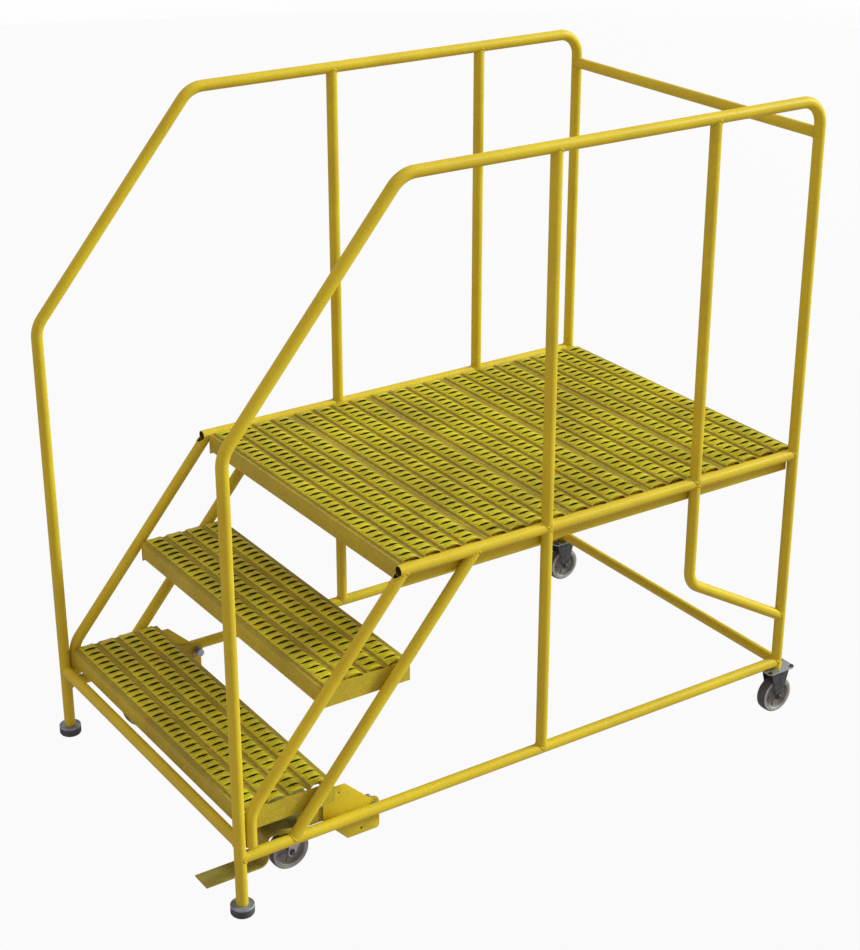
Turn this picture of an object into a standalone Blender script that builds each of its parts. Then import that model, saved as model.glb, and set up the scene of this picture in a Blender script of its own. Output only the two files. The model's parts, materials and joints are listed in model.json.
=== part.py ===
"""Mobile ladder stand: a welded tube frame with two steps, a five-plank platform and a caster lock.

Metres, +Z up. The steps are climbed towards +Y, and +X is the climber's right.
The origin is on the floor, at the middle of the bounding box.
"""

import math

import bmesh
import bpy
from mathutils import Vector

# Tube
TUBE_R = 0.0143
TUBE_WALL = 0.0020
TUBE_SIDES = 16
WELD_GAP = 0.0005
HALF_SPAN = 0.4764
SLOPE = math.radians(50.0)

# Length: the box runs from the pedal's tip to the back of the rear wheels
WHEELBASE = 1.646
WHEEL_R = 0.0508
PEDAL_REACH = 0.075
FRONT_Y = (PEDAL_REACH - WHEELBASE - WHEEL_R) / 2
REAR_Y = FRONT_Y + WHEELBASE

# Heights of tube centre lines
RAIL_Z = 0.1506
CROSS_BAR_Z = 0.192
SIDE_TUBE_Z = 0.7603
KNEE_Z = 1.1474
TOP_RAIL_Z = 1.682
REAR_TOP_BAR_Z = 1.6008
BRACE_KNEE_Z = 0.480
BRACE_END_Z = 0.290
STRINGER_FOOT_Z = 0.176

# Places along Y, measured back from the front post
SIDE_TUBE_FRONT = 0.434
POST_1_Y = FRONT_Y + 0.854
POST_2_Y = FRONT_Y + 1.3146
STRINGER_FRONT_TOP = FRONT_Y + 0.450
STRINGER_REAR_TOP = FRONT_Y + 0.650
STRINGER_FOOT_Y = FRONT_Y + 0.030
SLOPE_BEND = 0.075
REAR_BEND = 0.060
BRACE_BEND = 0.055

# Treads
STEP_RISE = 0.2555
STEP_FRONT_Y = FRONT_Y + 0.018
PLANK_DEPTH = 0.2435
PLANK_PITCH = 0.2440
PLANK_HALF = 0.4555
SHEET = 0.0025
LIP = 0.044
END_LIP = 0.053
END_SHEET = 0.003
ARCHES = 4
ARCH_PITCH = 0.0575
ARCH_WIDTH = 0.048
ARCH_RISE = 0.012
ARCH_STEPS = 6
TREAD_DROP = 0.0005
END_OVERLAP = 0.001
PLATFORM_PLANKS = 5
SIDE_BAR_OUT = 0.461
SIDE_BAR_THICK = 0.004

# Feet
FOOT_R = 0.0285
PAD_HEIGHT = 0.0215
PAD_CHAMFER = (0.003, 0.004)
CAP_HEIGHT = 0.005
CAP_CHAMFER = 0.001
RIM_GAP = 0.0003

# Casters
WHEEL_WIDTH = 0.030
HUB_HALF = 0.0177
HUB_R = 0.0115
BORE_R = 0.0063
WHEEL_WEB = [(0.0065, 0.0150), (0.0045, 0.0330)]
TYRE_INNER_R = 0.0385
TYRE_SIDE_LOW_R = 0.0410
TYRE_SIDE_HIGH_R = 0.0465
TYRE_CHAMFER = 0.0035
TYRE_LIP = 0.0015
AXLE_R = 0.0060
BOLT_HEAD_R = 0.0065
BOLT_HEAD = 0.005
FORK_IN = 0.0185
FORK_SHEET = 0.003
FORK_END_R = 0.0115
REAR_FORK_HALF = 0.031
FRONT_FORK_HALF = 0.026
CASTER_PLATE = 0.003
CASTER_LONG = 0.092
CASTER_SHORT = 0.060
PLATE_CORNER = 0.008
PLATE_HOLE_R = 0.0045
PLATE_HOLE_INSET = 0.0085
REAR_PLATE_TOP = 0.133
TRAIL = 0.030
FRONT_AXLE_Z = 0.065
FRONT_CASTER_X = 0.392
KINGPIN_Y = FRONT_Y + 0.201
FRONT_PLATE_TOP = 0.151
RACE_GAP = 0.007
RACE_LOW_R = 0.022
RACE_HIGH_R = 0.024
RIVET_R = 0.010
RIVET_HEIGHT = 0.004

# Caster lock
PIVOT_Y = FRONT_Y + 0.372
PIVOT_Z = 0.151
PIVOT_R = 0.005
PIN_HEAD_OUT = 0.4605
PIN_HEAD_IN = 0.4578
PIN_HEAD_R = 0.009
PIN_SEAT_OUT = 0.428
PIN_SEAT_IN = 0.425
PIN_SEAT_R = 0.0105
CARRIER_SHEET = 0.0035
CARRIER_OUT = 0.4525
CARRIER_WEB_Z = 0.155
CARRIER_FRONT = FRONT_Y + 0.118
CARRIER_BACK = FRONT_Y + 0.262
ARM_START = FRONT_Y + 0.165
ARM_TOP_Z = 0.188
ARM_BACK = FRONT_Y + 0.300
ARM_BACK_DROP = 0.004
LUG_R = 0.018
PEDAL_IN = 0.391
PEDAL_OUT = 0.4485
PEDAL_SHEET = 0.004
PEDAL_Z = 0.082
PEDAL_UPRIGHT_Y = FRONT_Y + 0.088
PEDAL_MIDDLE_Z = 0.125
PEDAL_FLANGE_END = FRONT_Y + 0.155
PEDAL_LOW_BEND = 0.022
PEDAL_HIGH_BEND = 0.012

# Anchor plate, drawn as (distance back from the front post, height)
ANCHOR_IN = 0.4545
ANCHOR_SHEET = 0.003
ANCHOR_FRONT_EDGE = [(0.232, 0.150), (0.298, 0.0815)]
ANCHOR_CORNER = (0.377, 0.0915)
ANCHOR_CORNER_R = 0.010
ANCHOR_BACK_EDGE = [(0.387, 0.146), (0.360, 0.173), (0.294, 0.2355)]
ANCHOR_NOTCH = [(0.2645, 0.2365), (0.2645, 0.1995), (0.232, 0.1995)]
ANCHOR_SPRING_HOLE = (0.336, 0.0967)
ANCHOR_SPRING_HOLE_R = 0.003
ANCHOR_SMALL_HOLE = (0.2755, 0.218)
ANCHOR_SMALL_HOLE_R = 0.002

# Return spring
COIL_R = 0.0085
WIRE_R = 0.0012
COIL_TURNS = 4
COIL_START, COIL_END = -90.0, 146.0
COIL_IN, COIL_OUT = 0.4305, 0.4465
SPRING_WEB_TIP = (FRONT_Y + 0.240, 0.1497)
SPRING_ANCHOR_BEND = (FRONT_Y + 0.336, 0.0967)
SPRING_ANCHOR_TIP = (0.4535, FRONT_Y + 0.335, 0.0960)


# ---------------------------------------------------------------- materials

def material(name, colour, roughness, metallic=0.0):
    made = bpy.data.materials.new(name)
    made.use_nodes = True
    shader = made.node_tree.nodes["Principled BSDF"]
    shader.inputs["Base Color"].default_value = (*colour, 1.0)
    shader.inputs["Roughness"].default_value = roughness
    shader.inputs["Metallic"].default_value = metallic
    return made


def make_materials():
    return {
        "yellow": material("safety_yellow_paint", (0.62, 0.46, 0.03), 0.38),
        "zinc": material("zinc_plated_steel", (0.42, 0.45, 0.48), 0.42, 0.9),
        "fork": material("dark_zinc_steel", (0.20, 0.20, 0.20), 0.45, 0.8),
        "wheel": material("grey_wheel", (0.28, 0.27, 0.25), 0.5),
        "rubber": material("dark_rubber", (0.06, 0.06, 0.06), 0.8),
        "bolt": material("bolt_steel", (0.16, 0.16, 0.16), 0.4, 0.9),
        "spring": material("spring_steel", (0.30, 0.30, 0.31), 0.35, 0.9),
    }


# ------------------------------------------------------------- mesh helpers

def add_object(name, mesh_data, paint, smooth_angle=None):
    """Makes the node from a bmesh, facing outwards, shaded smooth below smooth_angle."""
    bmesh.ops.recalc_face_normals(mesh_data, faces=mesh_data.faces)
    mesh = bpy.data.meshes.new(name)
    mesh_data.to_mesh(mesh)
    mesh_data.free()
    mesh.materials.append(paint)
    made = bpy.data.objects.new(name, mesh)
    bpy.context.scene.collection.objects.link(made)
    if smooth_angle is not None:
        mesh.shade_smooth()
        mesh.set_sharp_from_angle(angle=math.radians(smooth_angle))
    return made


def set_origin(made, point):
    """Moves the object's origin onto point and leaves its shape where it is."""
    shift = Vector(point) - made.location
    for vertex in made.data.vertices:
        vertex.co -= shift
    made.location = point


def arc(centre, radius, start, end, steps):
    """Points of an arc in a plane, from angle start to angle end in degrees."""
    points = []
    for i in range(steps + 1):
        angle = math.radians(start + (end - start) * i / steps)
        points.append((centre[0] + radius * math.cos(angle), centre[1] + radius * math.sin(angle)))
    return points


def circle(centre, radius, steps):
    return arc(centre, radius, 0.0, 360.0 * (steps - 1) / steps, steps - 1)


def offset_line(points, distance):
    """The open line moved sideways by distance, to its right, with mitred corners."""
    moved = []
    for i, point in enumerate(points):
        here = Vector(point)
        sides = []
        if i > 0:
            sides.append((here - Vector(points[i - 1])).normalized())
        if i < len(points) - 1:
            sides.append((Vector(points[i + 1]) - here).normalized())
        normals = [Vector((side.y, -side.x)) for side in sides]
        mean = sum(normals, Vector((0.0, 0.0))).normalized()
        moved.append(tuple(here + mean * (distance / mean.dot(normals[0]))))
    return moved


def rounded_line(corners, radius, steps):
    """A planar or 3-D line with each inner corner replaced by an arc of the given radius."""
    corners = [Vector(c) for c in corners]
    points = [corners[0]]
    for before, corner, after in zip(corners, corners[1:], corners[2:]):
        back = (before - corner).normalized()
        ahead = (after - corner).normalized()
        half = back.angle(ahead) / 2
        centre = corner + (back + ahead).normalized() * (radius / math.sin(half))
        start = corner + back * (radius / math.tan(half)) - centre
        end = corner + ahead * (radius / math.tan(half)) - centre
        turn = start.angle(end)
        for i in range(steps + 1):
            t = i / steps
            spread = math.sin((1 - t) * turn) * start + math.sin(t * turn) * end
            points.append(centre + spread / math.sin(turn))
    points.append(corners[-1])
    return points


def prism(loops, place, low, high):
    """A flat plate: outline loops (the first outside, the rest holes) pushed from low to high."""
    made = bmesh.new()
    edges = []
    for loop in loops:
        ring = [made.verts.new(place(u, v, low)) for u, v in loop]
        edges += [made.edges.new((ring[i - 1], ring[i])) for i in range(len(ring))]
    filled = bmesh.ops.triangle_fill(made, edges=edges, use_beauty=True)
    faces = [item for item in filled["geom"] if isinstance(item, bmesh.types.BMFace)]
    pushed = bmesh.ops.extrude_face_region(made, geom=faces, use_keep_orig=True)
    moved = [item for item in pushed["geom"] if isinstance(item, bmesh.types.BMVert)]
    shift = Vector(place(0, 0, high)) - Vector(place(0, 0, low))
    bmesh.ops.translate(made, verts=moved, vec=shift)
    return made


def across_x(u, v, w):
    """Places an outline drawn in Y and Z at X = w."""
    return (w, u, v)


def across_z(u, v, w):
    """Places an outline drawn in X and Y at Z = w."""
    return (u, v, w)


def revolved(profile, centre, sides, hollow):
    """Turns (along, radius) points about the X direction through centre."""
    made = bmesh.new()
    rings = []
    for along, radius in profile:
        ring = []
        for i in range(sides):
            angle = 2 * math.pi * i / sides
            ring.append(made.verts.new((
                centre[0] + along,
                centre[1] + radius * math.cos(angle),
                centre[2] + radius * math.sin(angle),
            )))
        rings.append(ring)
    pairs = list(zip(rings, rings[1:]))
    if hollow:
        pairs.append((rings[-1], rings[0]))
    else:
        made.faces.new(rings[0])
        made.faces.new(rings[-1])
    for first, second in pairs:
        for i in range(sides):
            made.faces.new((first[i - 1], first[i], second[i], second[i - 1]))
    return made


def upright(made, centre):
    """Turns a shape that was revolved about X at the origin so that it stands along Z at centre."""
    for vertex in made.verts:
        along, side, up = vertex.co
        vertex.co = (centre[0] + side, centre[1] + up, centre[2] + along)
    return made


# -------------------------------------------------------------------- tubes

def reach_cylinder(start, direction, axis_point, axis, radius):
    """How far a ray goes before it meets the cylinder, counted from start; negative is behind."""
    axis = Vector(axis).normalized()
    offset = start - Vector(axis_point)
    offset = offset - axis * offset.dot(axis)
    flat = direction - axis * direction.dot(axis)
    a = flat.dot(flat)
    b = offset.dot(flat)
    c = offset.dot(offset) - radius * radius
    return (-b - math.sqrt(max(b * b - a * c, 0.0))) / a


def reach_plane(start, direction, point, normal):
    normal = Vector(normal)
    return (Vector(point) - start).dot(normal) / direction.dot(normal)


def trimmed(start, direction, cuts):
    """The ray's end point where the nearest of the cuts stops it."""
    reaches = [0.0] if not cuts else []
    for kind, point, along in cuts:
        if kind == "tube":
            reaches.append(reach_cylinder(start, direction, point, along, TUBE_R + WELD_GAP))
        else:
            reaches.append(reach_plane(start, direction, point, along))
    return start + direction * min(reaches)


def tube(name, path, side, paint, start_cuts=(), end_cuts=()):
    """A hollow tube along path. side is a fixed direction square to every part of the path.

    Each cut is ("tube", a point on the other tube's axis, its direction) or
    ("plane", a point, its normal), and trims the open end to that surface.
    """
    path = [Vector(p) for p in path]
    side = Vector(side)
    made = bmesh.new()
    walls = []
    for radius in (TUBE_R, TUBE_R - TUBE_WALL):
        rings = []
        for i, centre in enumerate(path):
            before = path[max(i - 1, 0)]
            after = path[min(i + 1, len(path) - 1)]
            into = (centre - before).normalized() if i > 0 else (after - centre).normalized()
            out = (after - centre).normalized() if i < len(path) - 1 else into
            tangent = (into + out).normalized()
            normal = tangent.cross(side)
            stretch = 1.0 / max(tangent.dot(into), 0.5)
            ring = []
            for k in range(TUBE_SIDES):
                angle = 2 * math.pi * k / TUBE_SIDES
                spot = side * math.cos(angle) + normal * (math.sin(angle) * stretch)
                point = centre + spot * radius
                if i == 0:
                    point = trimmed(point, -tangent, start_cuts)
                if i == len(path) - 1:
                    point = trimmed(point, tangent, end_cuts)
                ring.append(made.verts.new(point))
            rings.append(ring)
        walls.append(rings)
    for rings in walls:
        for first, second in zip(rings, rings[1:]):
            for k in range(TUBE_SIDES):
                made.faces.new((first[k - 1], first[k], second[k], second[k - 1]))
    for end in (0, -1):
        outer, inner = walls[0][end], walls[1][end]
        for k in range(TUBE_SIDES):
            made.faces.new((outer[k - 1], outer[k], inner[k], inner[k - 1]))
    return add_object(name, made, paint, 35)


def on_tube(x, y, z, along):
    """A cut that fits the end to the tube whose axis passes through this point."""
    directions = {"x": (1, 0, 0), "y": (0, 1, 0), "z": (0, 0, 1)}
    return ("tube", (x, y, z), directions[along])


def make_handrail(name, x, paint):
    """One bent tube: front post, incline, top rail and rear post."""
    incline_run = (TOP_RAIL_Z - KNEE_Z) / math.tan(SLOPE)
    foot = PAD_HEIGHT + RIM_GAP + CAP_HEIGHT + RIM_GAP
    knee = (x, FRONT_Y, KNEE_Z)
    crest = (x, FRONT_Y + incline_run, TOP_RAIL_Z)
    corner = (x, REAR_Y, TOP_RAIL_Z)
    mid = (x, (crest[1] + corner[1]) / 2, TOP_RAIL_Z)
    front = rounded_line([(x, FRONT_Y, foot), knee, crest, mid], SLOPE_BEND, 4)
    back = rounded_line([mid, corner, (x, REAR_Y, REAR_PLATE_TOP + RIM_GAP)], REAR_BEND, 7)
    tube(name, front + back[1:], (1, 0, 0), paint)


def make_side(suffix, x, yellow):
    """The tubes of one side frame, all in one plane."""
    side = (1, 0, 0)
    inward = -math.copysign(1.0, x)
    make_handrail("handrail_" + suffix, x, yellow)
    rear_post = on_tube(x, REAR_Y, 0, "z")
    front_post = on_tube(x, FRONT_Y, 0, "z")
    side_tube = on_tube(x, 0, SIDE_TUBE_Z, "y")
    top_rail = on_tube(x, 0, TOP_RAIL_Z, "y")
    rail = on_tube(x, 0, RAIL_Z, "y")
    tube("platform_side_tube_" + suffix,
         [(x, FRONT_Y + SIDE_TUBE_FRONT, SIDE_TUBE_Z), (x, REAR_Y, SIDE_TUBE_Z)],
         side, yellow, end_cuts=[rear_post])
    mitre = ("plane", (x, REAR_Y - WELD_GAP, RAIL_Z), (inward, 1, 0))
    tube("bottom_rail_" + suffix,
         [(x, FRONT_Y, RAIL_Z), (x, REAR_Y, RAIL_Z)],
         side, yellow, [front_post], [rear_post, mitre])
    for name, y in (("guard_post_front_", POST_1_Y), ("guard_post_rear_", POST_2_Y)):
        tube(name + suffix, [(x, y, SIDE_TUBE_Z), (x, y, TOP_RAIL_Z)],
             side, yellow, [side_tube], [top_rail])
    tube("lower_post_" + suffix, [(x, POST_1_Y, RAIL_Z), (x, POST_1_Y, SIDE_TUBE_Z)],
         side, yellow, [rail], [side_tube])
    brace = rounded_line(
        [(x, POST_2_Y, SIDE_TUBE_Z), (x, POST_2_Y, BRACE_KNEE_Z), (x, REAR_Y, BRACE_END_Z)],
        BRACE_BEND, 6)
    tube("rear_brace_" + suffix, brace, side, yellow, [side_tube], [rear_post])
    foot_bend_z = SIDE_TUBE_Z - (STRINGER_FRONT_TOP - STRINGER_FOOT_Y) * math.tan(SLOPE)
    stringer = rounded_line(
        [(x, STRINGER_FRONT_TOP, SIDE_TUBE_Z), (x, STRINGER_FOOT_Y, foot_bend_z),
         (x, STRINGER_FOOT_Y, STRINGER_FOOT_Z)], SLOPE_BEND, 4)
    tube("front_stringer_" + suffix, stringer, side, yellow, [side_tube])
    rear_foot_y = STRINGER_REAR_TOP - (SIDE_TUBE_Z - RAIL_Z) / math.tan(SLOPE)
    tube("rear_stringer_" + suffix,
         [(x, STRINGER_REAR_TOP, SIDE_TUBE_Z), (x, rear_foot_y, RAIL_Z)],
         side, yellow, [side_tube], [rail])


def make_cross_bars(yellow):
    bars = (("front_cross_bar", FRONT_Y, CROSS_BAR_Z), ("rear_top_bar", REAR_Y, REAR_TOP_BAR_Z),
            ("rear_bottom_bar", REAR_Y, RAIL_Z))
    for name, y, z in bars:
        cuts = []
        for x in (-HALF_SPAN, HALF_SPAN):
            end = [on_tube(x, y, 0, "z")]
            if name == "rear_bottom_bar":
                outward = math.copysign(1.0, x)
                end.append(("plane", (x - outward * WELD_GAP, y, z), (outward, -1, 0)))
            cuts.append(end)
        tube(name, [(-HALF_SPAN, y, z), (HALF_SPAN, y, z)], (0, 1, 0), yellow, *cuts)


# ------------------------------------------------------------------- treads

def arched_line(front, top):
    """The upper line of a plank's section in Y and Z, from the front lip to the rear lip."""
    margin = (PLANK_DEPTH - ARCHES * ARCH_PITCH) / 2
    chord = ARCH_WIDTH / 2
    radius = (chord ** 2 + ARCH_RISE ** 2) / (2 * ARCH_RISE)
    half_angle = math.degrees(math.asin(chord / radius))
    line = [(front, top - LIP), (front, top)]
    for i in range(ARCHES):
        middle = front + margin + ARCH_PITCH * (i + 0.5)
        centre = (middle, top + ARCH_RISE - radius)
        line += arc(centre, radius, 90 + half_angle, 90 - half_angle, ARCH_STEPS)
    line += [(front + PLANK_DEPTH, top), (front + PLANK_DEPTH, top - LIP)]
    return line


def bent_sheet(line, thickness, low, high):
    """A sheet that follows the line in Y and Z and runs from X = low to X = high."""
    outline = line + offset_line(line, thickness)[::-1]
    return prism([outline], across_x, low, high)


def make_step(name, front, top, yellow):
    """A plank with a turned-down plate on each end, joined into one body."""
    made = add_object(name, bent_sheet(arched_line(front, top), SHEET, -PLANK_HALF, PLANK_HALF), yellow)
    outline = [(front, top - END_LIP), (front, top - SHEET / 2),
               (front + PLANK_DEPTH, top - SHEET / 2), (front + PLANK_DEPTH, top - END_LIP)]
    for sign in (-1, 1):
        inner, outer = sign * (PLANK_HALF - END_OVERLAP), sign * (PLANK_HALF + END_SHEET)
        plate = add_object(f"{name}_end_{sign}", prism([outline], across_x, inner, outer), yellow)
        plate.hide_render = True
        plate.display_type = "WIRE"
        joined = made.modifiers.new("end plate", "BOOLEAN")
        joined.operation = "UNION"
        joined.object = plate
    return made


def make_treads(yellow):
    run = STEP_RISE / math.tan(SLOPE)
    for i in range(2):
        make_step(f"step_{i + 1}", STEP_FRONT_Y + run * i, STEP_RISE * (i + 1) - TREAD_DROP, yellow)
    platform_front = STEP_FRONT_Y + run * 2
    top = STEP_RISE * 3 - TREAD_DROP
    for i in range(PLATFORM_PLANKS):
        line = arched_line(platform_front + PLANK_PITCH * i, top)
        add_object(f"platform_plank_{i + 1}", bent_sheet(line, SHEET, -PLANK_HALF, PLANK_HALF), yellow)
    back = REAR_Y - TUBE_R * 0.5
    outline = [(platform_front, top - END_LIP), (platform_front, top), (back, top), (back, top - END_LIP)]
    for suffix, sign in (("right", 1), ("left", -1)):
        inner = sign * (SIDE_BAR_OUT - SIDE_BAR_THICK)
        add_object("platform_side_bar_" + suffix,
                   prism([outline], across_x, inner, sign * SIDE_BAR_OUT), yellow)


# --------------------------------------------------------------------- feet

def make_feet(suffix, x, colours):
    in_by, up_by = PAD_CHAMFER
    pad = [(0.0, FOOT_R - in_by), (up_by, FOOT_R), (PAD_HEIGHT, FOOT_R)]
    add_object("foot_pad_" + suffix,
               upright(revolved(pad, (0, 0, 0), 32, False), (x, FRONT_Y, 0.0)), colours["rubber"], 40)
    cap = [(0.0, FOOT_R), (CAP_HEIGHT - CAP_CHAMFER, FOOT_R), (CAP_HEIGHT, FOOT_R - CAP_CHAMFER)]
    add_object("foot_cap_" + suffix,
               upright(revolved(cap, (0, 0, 0), 32, False), (x, FRONT_Y, PAD_HEIGHT + RIM_GAP)),
               colours["zinc"], 40)


# ------------------------------------------------------------------ casters

def make_wheel(name, centre, paint):
    """Tyre, rim, dished web and hub in one moulding, turning on the X axis through centre."""
    half = WHEEL_WIDTH / 2
    side = [(HUB_HALF, BORE_R), (HUB_HALF, HUB_R), *WHEEL_WEB, (half - TYRE_LIP, TYRE_INNER_R),
            (half, TYRE_SIDE_LOW_R), (half, TYRE_SIDE_HIGH_R), (half - TYRE_CHAMFER, WHEEL_R)]
    profile = side + [(-along, radius) for along, radius in reversed(side)]
    made = add_object(name, revolved(profile, centre, 30, True), paint, 40)
    set_origin(made, centre)


def make_axle(name, centre, paint):
    """A bolt through both fork legs, with its head outside one leg and its nut outside the other."""
    leg = FORK_IN + FORK_SHEET + RIM_GAP
    head = leg + BOLT_HEAD
    profile = [(-head, BOLT_HEAD_R), (-leg, BOLT_HEAD_R), (-leg, AXLE_R), (leg, AXLE_R),
               (leg, BOLT_HEAD_R), (head, BOLT_HEAD_R)]
    made = add_object(name, revolved(profile, centre, 18, False), paint, 40)
    set_origin(made, centre)


def make_plate(name, centre, long_axis, top, hole_r, paint):
    """A caster's top plate with a bolt hole near each corner, and a kingpin hole where asked."""
    half_x, half_y = CASTER_SHORT / 2, CASTER_LONG / 2
    if long_axis == "x":
        half_x, half_y = half_y, half_x
    cut = PLATE_CORNER
    x, y = centre
    outline = [(x - half_x + cut, y - half_y), (x + half_x - cut, y - half_y),
               (x + half_x, y - half_y + cut), (x + half_x, y + half_y - cut),
               (x + half_x - cut, y + half_y), (x - half_x + cut, y + half_y),
               (x - half_x, y + half_y - cut), (x - half_x, y - half_y + cut)]
    loops = [outline]
    for sx in (-1, 1):
        for sy in (-1, 1):
            spot = (x + sx * (half_x - PLATE_HOLE_INSET), y + sy * (half_y - PLATE_HOLE_INSET))
            loops.append(circle(spot, PLATE_HOLE_R, 10))
    if hole_r:
        loops.append(circle(centre, hole_r, 16))
    return add_object(name, prism(loops, across_z, top - CASTER_PLATE, top), paint)


def fork_leg(top_half, top_z, axle_y, axle_z):
    """One leg's outline in Y and Z about the kingpin line, tapering to a round end at the axle."""
    return [(-top_half, top_z), *arc((axle_y, axle_z), FORK_END_R, 170, 370, 8), (top_half, top_z)]


def make_fork(name, centre, top_half, top_z, axle_z, trail, hole_r, paint):
    """A bent U of sheet: a web across the top and two tapering legs with axle holes."""
    made = bmesh.new()
    out = FORK_IN + FORK_SHEET
    leg = fork_leg(top_half, top_z, -trail, axle_z)
    hole = circle((-trail, axle_z), AXLE_R + RIM_GAP, 14)
    tops = []
    for sign in (-1, 1):
        edges = []
        for loop in (leg, hole):
            ring = [made.verts.new((centre[0] + sign * out, centre[1] + y, z)) for y, z in loop]
            edges += [made.edges.new((ring[i - 1], ring[i])) for i in range(len(ring))]
            if loop is leg:
                tops.append((ring[0], ring[-1], edges[0]))
        bmesh.ops.triangle_fill(made, edges=edges, use_beauty=True)
    web = [tops[0][2], tops[1][2]]
    web += [made.edges.new((tops[0][0], tops[1][0])), made.edges.new((tops[0][1], tops[1][1]))]
    if hole_r:
        rim = circle((0, 0), hole_r, 16)
        ring = [made.verts.new((centre[0] + x, centre[1] + y, top_z)) for x, y in rim]
        web += [made.edges.new((ring[i - 1], ring[i])) for i in range(len(ring))]
    bmesh.ops.triangle_fill(made, edges=web, use_beauty=True)
    bent = add_object(name, made, paint)
    face_up(bent, top_z)
    thick = bent.modifiers.new("sheet", "SOLIDIFY")
    thick.thickness = FORK_SHEET
    thick.offset = -1.0
    thick.use_even_offset = True
    thick.use_quality_normals = True
    set_origin(bent, (centre[0], centre[1], top_z))
    return bent


def face_up(made, height):
    """Flips the open sheet if its level faces at this height look down."""
    for face in made.data.polygons:
        if abs(face.center.z - height) < 1e-5 and abs(face.normal.z) > 0.99:
            if face.normal.z < 0:
                made.data.flip_normals()
            return


def make_rear_caster(suffix, x, colours):
    plate_spot = (x, REAR_Y)
    make_plate("rear_caster_plate_" + suffix, plate_spot, "y", REAR_PLATE_TOP, 0.0, colours["zinc"])
    fork_top = REAR_PLATE_TOP - CASTER_PLATE - RIM_GAP
    make_fork("rear_caster_fork_" + suffix, plate_spot, REAR_FORK_HALF, fork_top, WHEEL_R,
              0.0, 0.0, colours["fork"])
    make_wheel("rear_wheel_" + suffix, (x, REAR_Y, WHEEL_R), colours["wheel"])
    make_axle("rear_axle_" + suffix, (x, REAR_Y, WHEEL_R), colours["bolt"])


def make_front_caster(suffix, x, colours):
    spot = (x, KINGPIN_Y)
    make_plate("front_caster_plate_" + suffix, spot, "x", FRONT_PLATE_TOP, AXLE_R + RIM_GAP,
               colours["zinc"])
    fork_top = FRONT_PLATE_TOP - CASTER_PLATE - RACE_GAP
    make_fork("front_caster_fork_" + suffix, spot, FRONT_FORK_HALF, fork_top, FRONT_AXLE_Z,
              TRAIL, AXLE_R + RIM_GAP, colours["zinc"])
    axle = (x, KINGPIN_Y - TRAIL, FRONT_AXLE_Z)
    make_wheel("front_wheel_" + suffix, axle, colours["wheel"])
    make_axle("front_axle_" + suffix, axle, colours["bolt"])
    web_low = fork_top - FORK_SHEET
    race_low, race_high = fork_top + RIM_GAP, fork_top + RACE_GAP - RIM_GAP
    profile = [(web_low - RIVET_HEIGHT, RIVET_R), (web_low - RIM_GAP, RIVET_R),
               (web_low - RIM_GAP, AXLE_R), (race_low, AXLE_R), (race_low, RACE_LOW_R),
               (race_high, RACE_HIGH_R), (race_high, AXLE_R), (FRONT_PLATE_TOP, AXLE_R)]
    made = add_object("kingpin_" + suffix, upright(revolved(profile, (0, 0, 0), 24, False), (*spot, 0.0)),
                      colours["fork"], 40)
    set_origin(made, (*spot, fork_top))


# -------------------------------------------------------------- caster lock

def make_anchor_plate(suffix, sign, yellow):
    """The fixed plate inside each bottom rail that carries the carrier's pivot."""
    outline = [*ANCHOR_FRONT_EDGE, *arc(ANCHOR_CORNER, ANCHOR_CORNER_R, -90, 0, 4),
               *ANCHOR_BACK_EDGE, *ANCHOR_NOTCH]
    loops = [outline, circle((PIVOT_Y - FRONT_Y, PIVOT_Z), PIVOT_R + RIM_GAP, 14),
             circle(ANCHOR_SPRING_HOLE, ANCHOR_SPRING_HOLE_R, 10),
             circle(ANCHOR_SMALL_HOLE, ANCHOR_SMALL_HOLE_R, 8)]
    placed = [[(FRONT_Y + back, height) for back, height in loop] for loop in loops]
    add_object("anchor_plate_" + suffix,
               prism(placed, across_x, sign * ANCHOR_IN, sign * (ANCHOR_IN + ANCHOR_SHEET)), yellow)


def make_carrier(yellow):
    """One bent sheet: a level web over both casters and an upright arm back to each pivot."""
    made = bmesh.new()
    inside = CARRIER_OUT - CARRIER_SHEET
    web_corners = (CARRIER_FRONT, ARM_START, CARRIER_BACK)
    rows = {}
    for sign in (-1, 1):
        rows[sign] = [made.verts.new((sign * inside, y, CARRIER_WEB_Z)) for y in web_corners]
    for first, second in ((0, 1), (1, 2)):
        made.faces.new((rows[-1][first], rows[1][first], rows[1][second], rows[-1][second]))
    for sign in (-1, 1):
        x = sign * inside
        lug = arc((PIVOT_Y, PIVOT_Z), LUG_R, -170, 85, 12)
        outline = [*lug, (ARM_BACK, ARM_TOP_Z - ARM_BACK_DROP), (ARM_START, ARM_TOP_Z)]
        ring = [rows[sign][1], rows[sign][2]]
        ring += [made.verts.new((x, y, z)) for y, z in outline]
        edges = []
        for i, corner in enumerate(ring):
            found = made.edges.get((ring[i - 1], corner))
            edges.append(found or made.edges.new((ring[i - 1], corner)))
        hole = circle((PIVOT_Y, PIVOT_Z), PIVOT_R + RIM_GAP, 14)
        ring = [made.verts.new((x, y, z)) for y, z in hole]
        edges += [made.edges.new((ring[i - 1], ring[i])) for i in range(len(ring))]
        bmesh.ops.triangle_fill(made, edges=edges, use_beauty=True)
    bent = add_object("caster_carrier", made, yellow)
    face_up(bent, CARRIER_WEB_Z)
    thick = bent.modifiers.new("sheet", "SOLIDIFY")
    thick.thickness = CARRIER_SHEET
    thick.offset = -1.0
    thick.use_even_offset = True
    thick.use_quality_normals = True
    set_origin(bent, (0, PIVOT_Y, PIVOT_Z))


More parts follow.
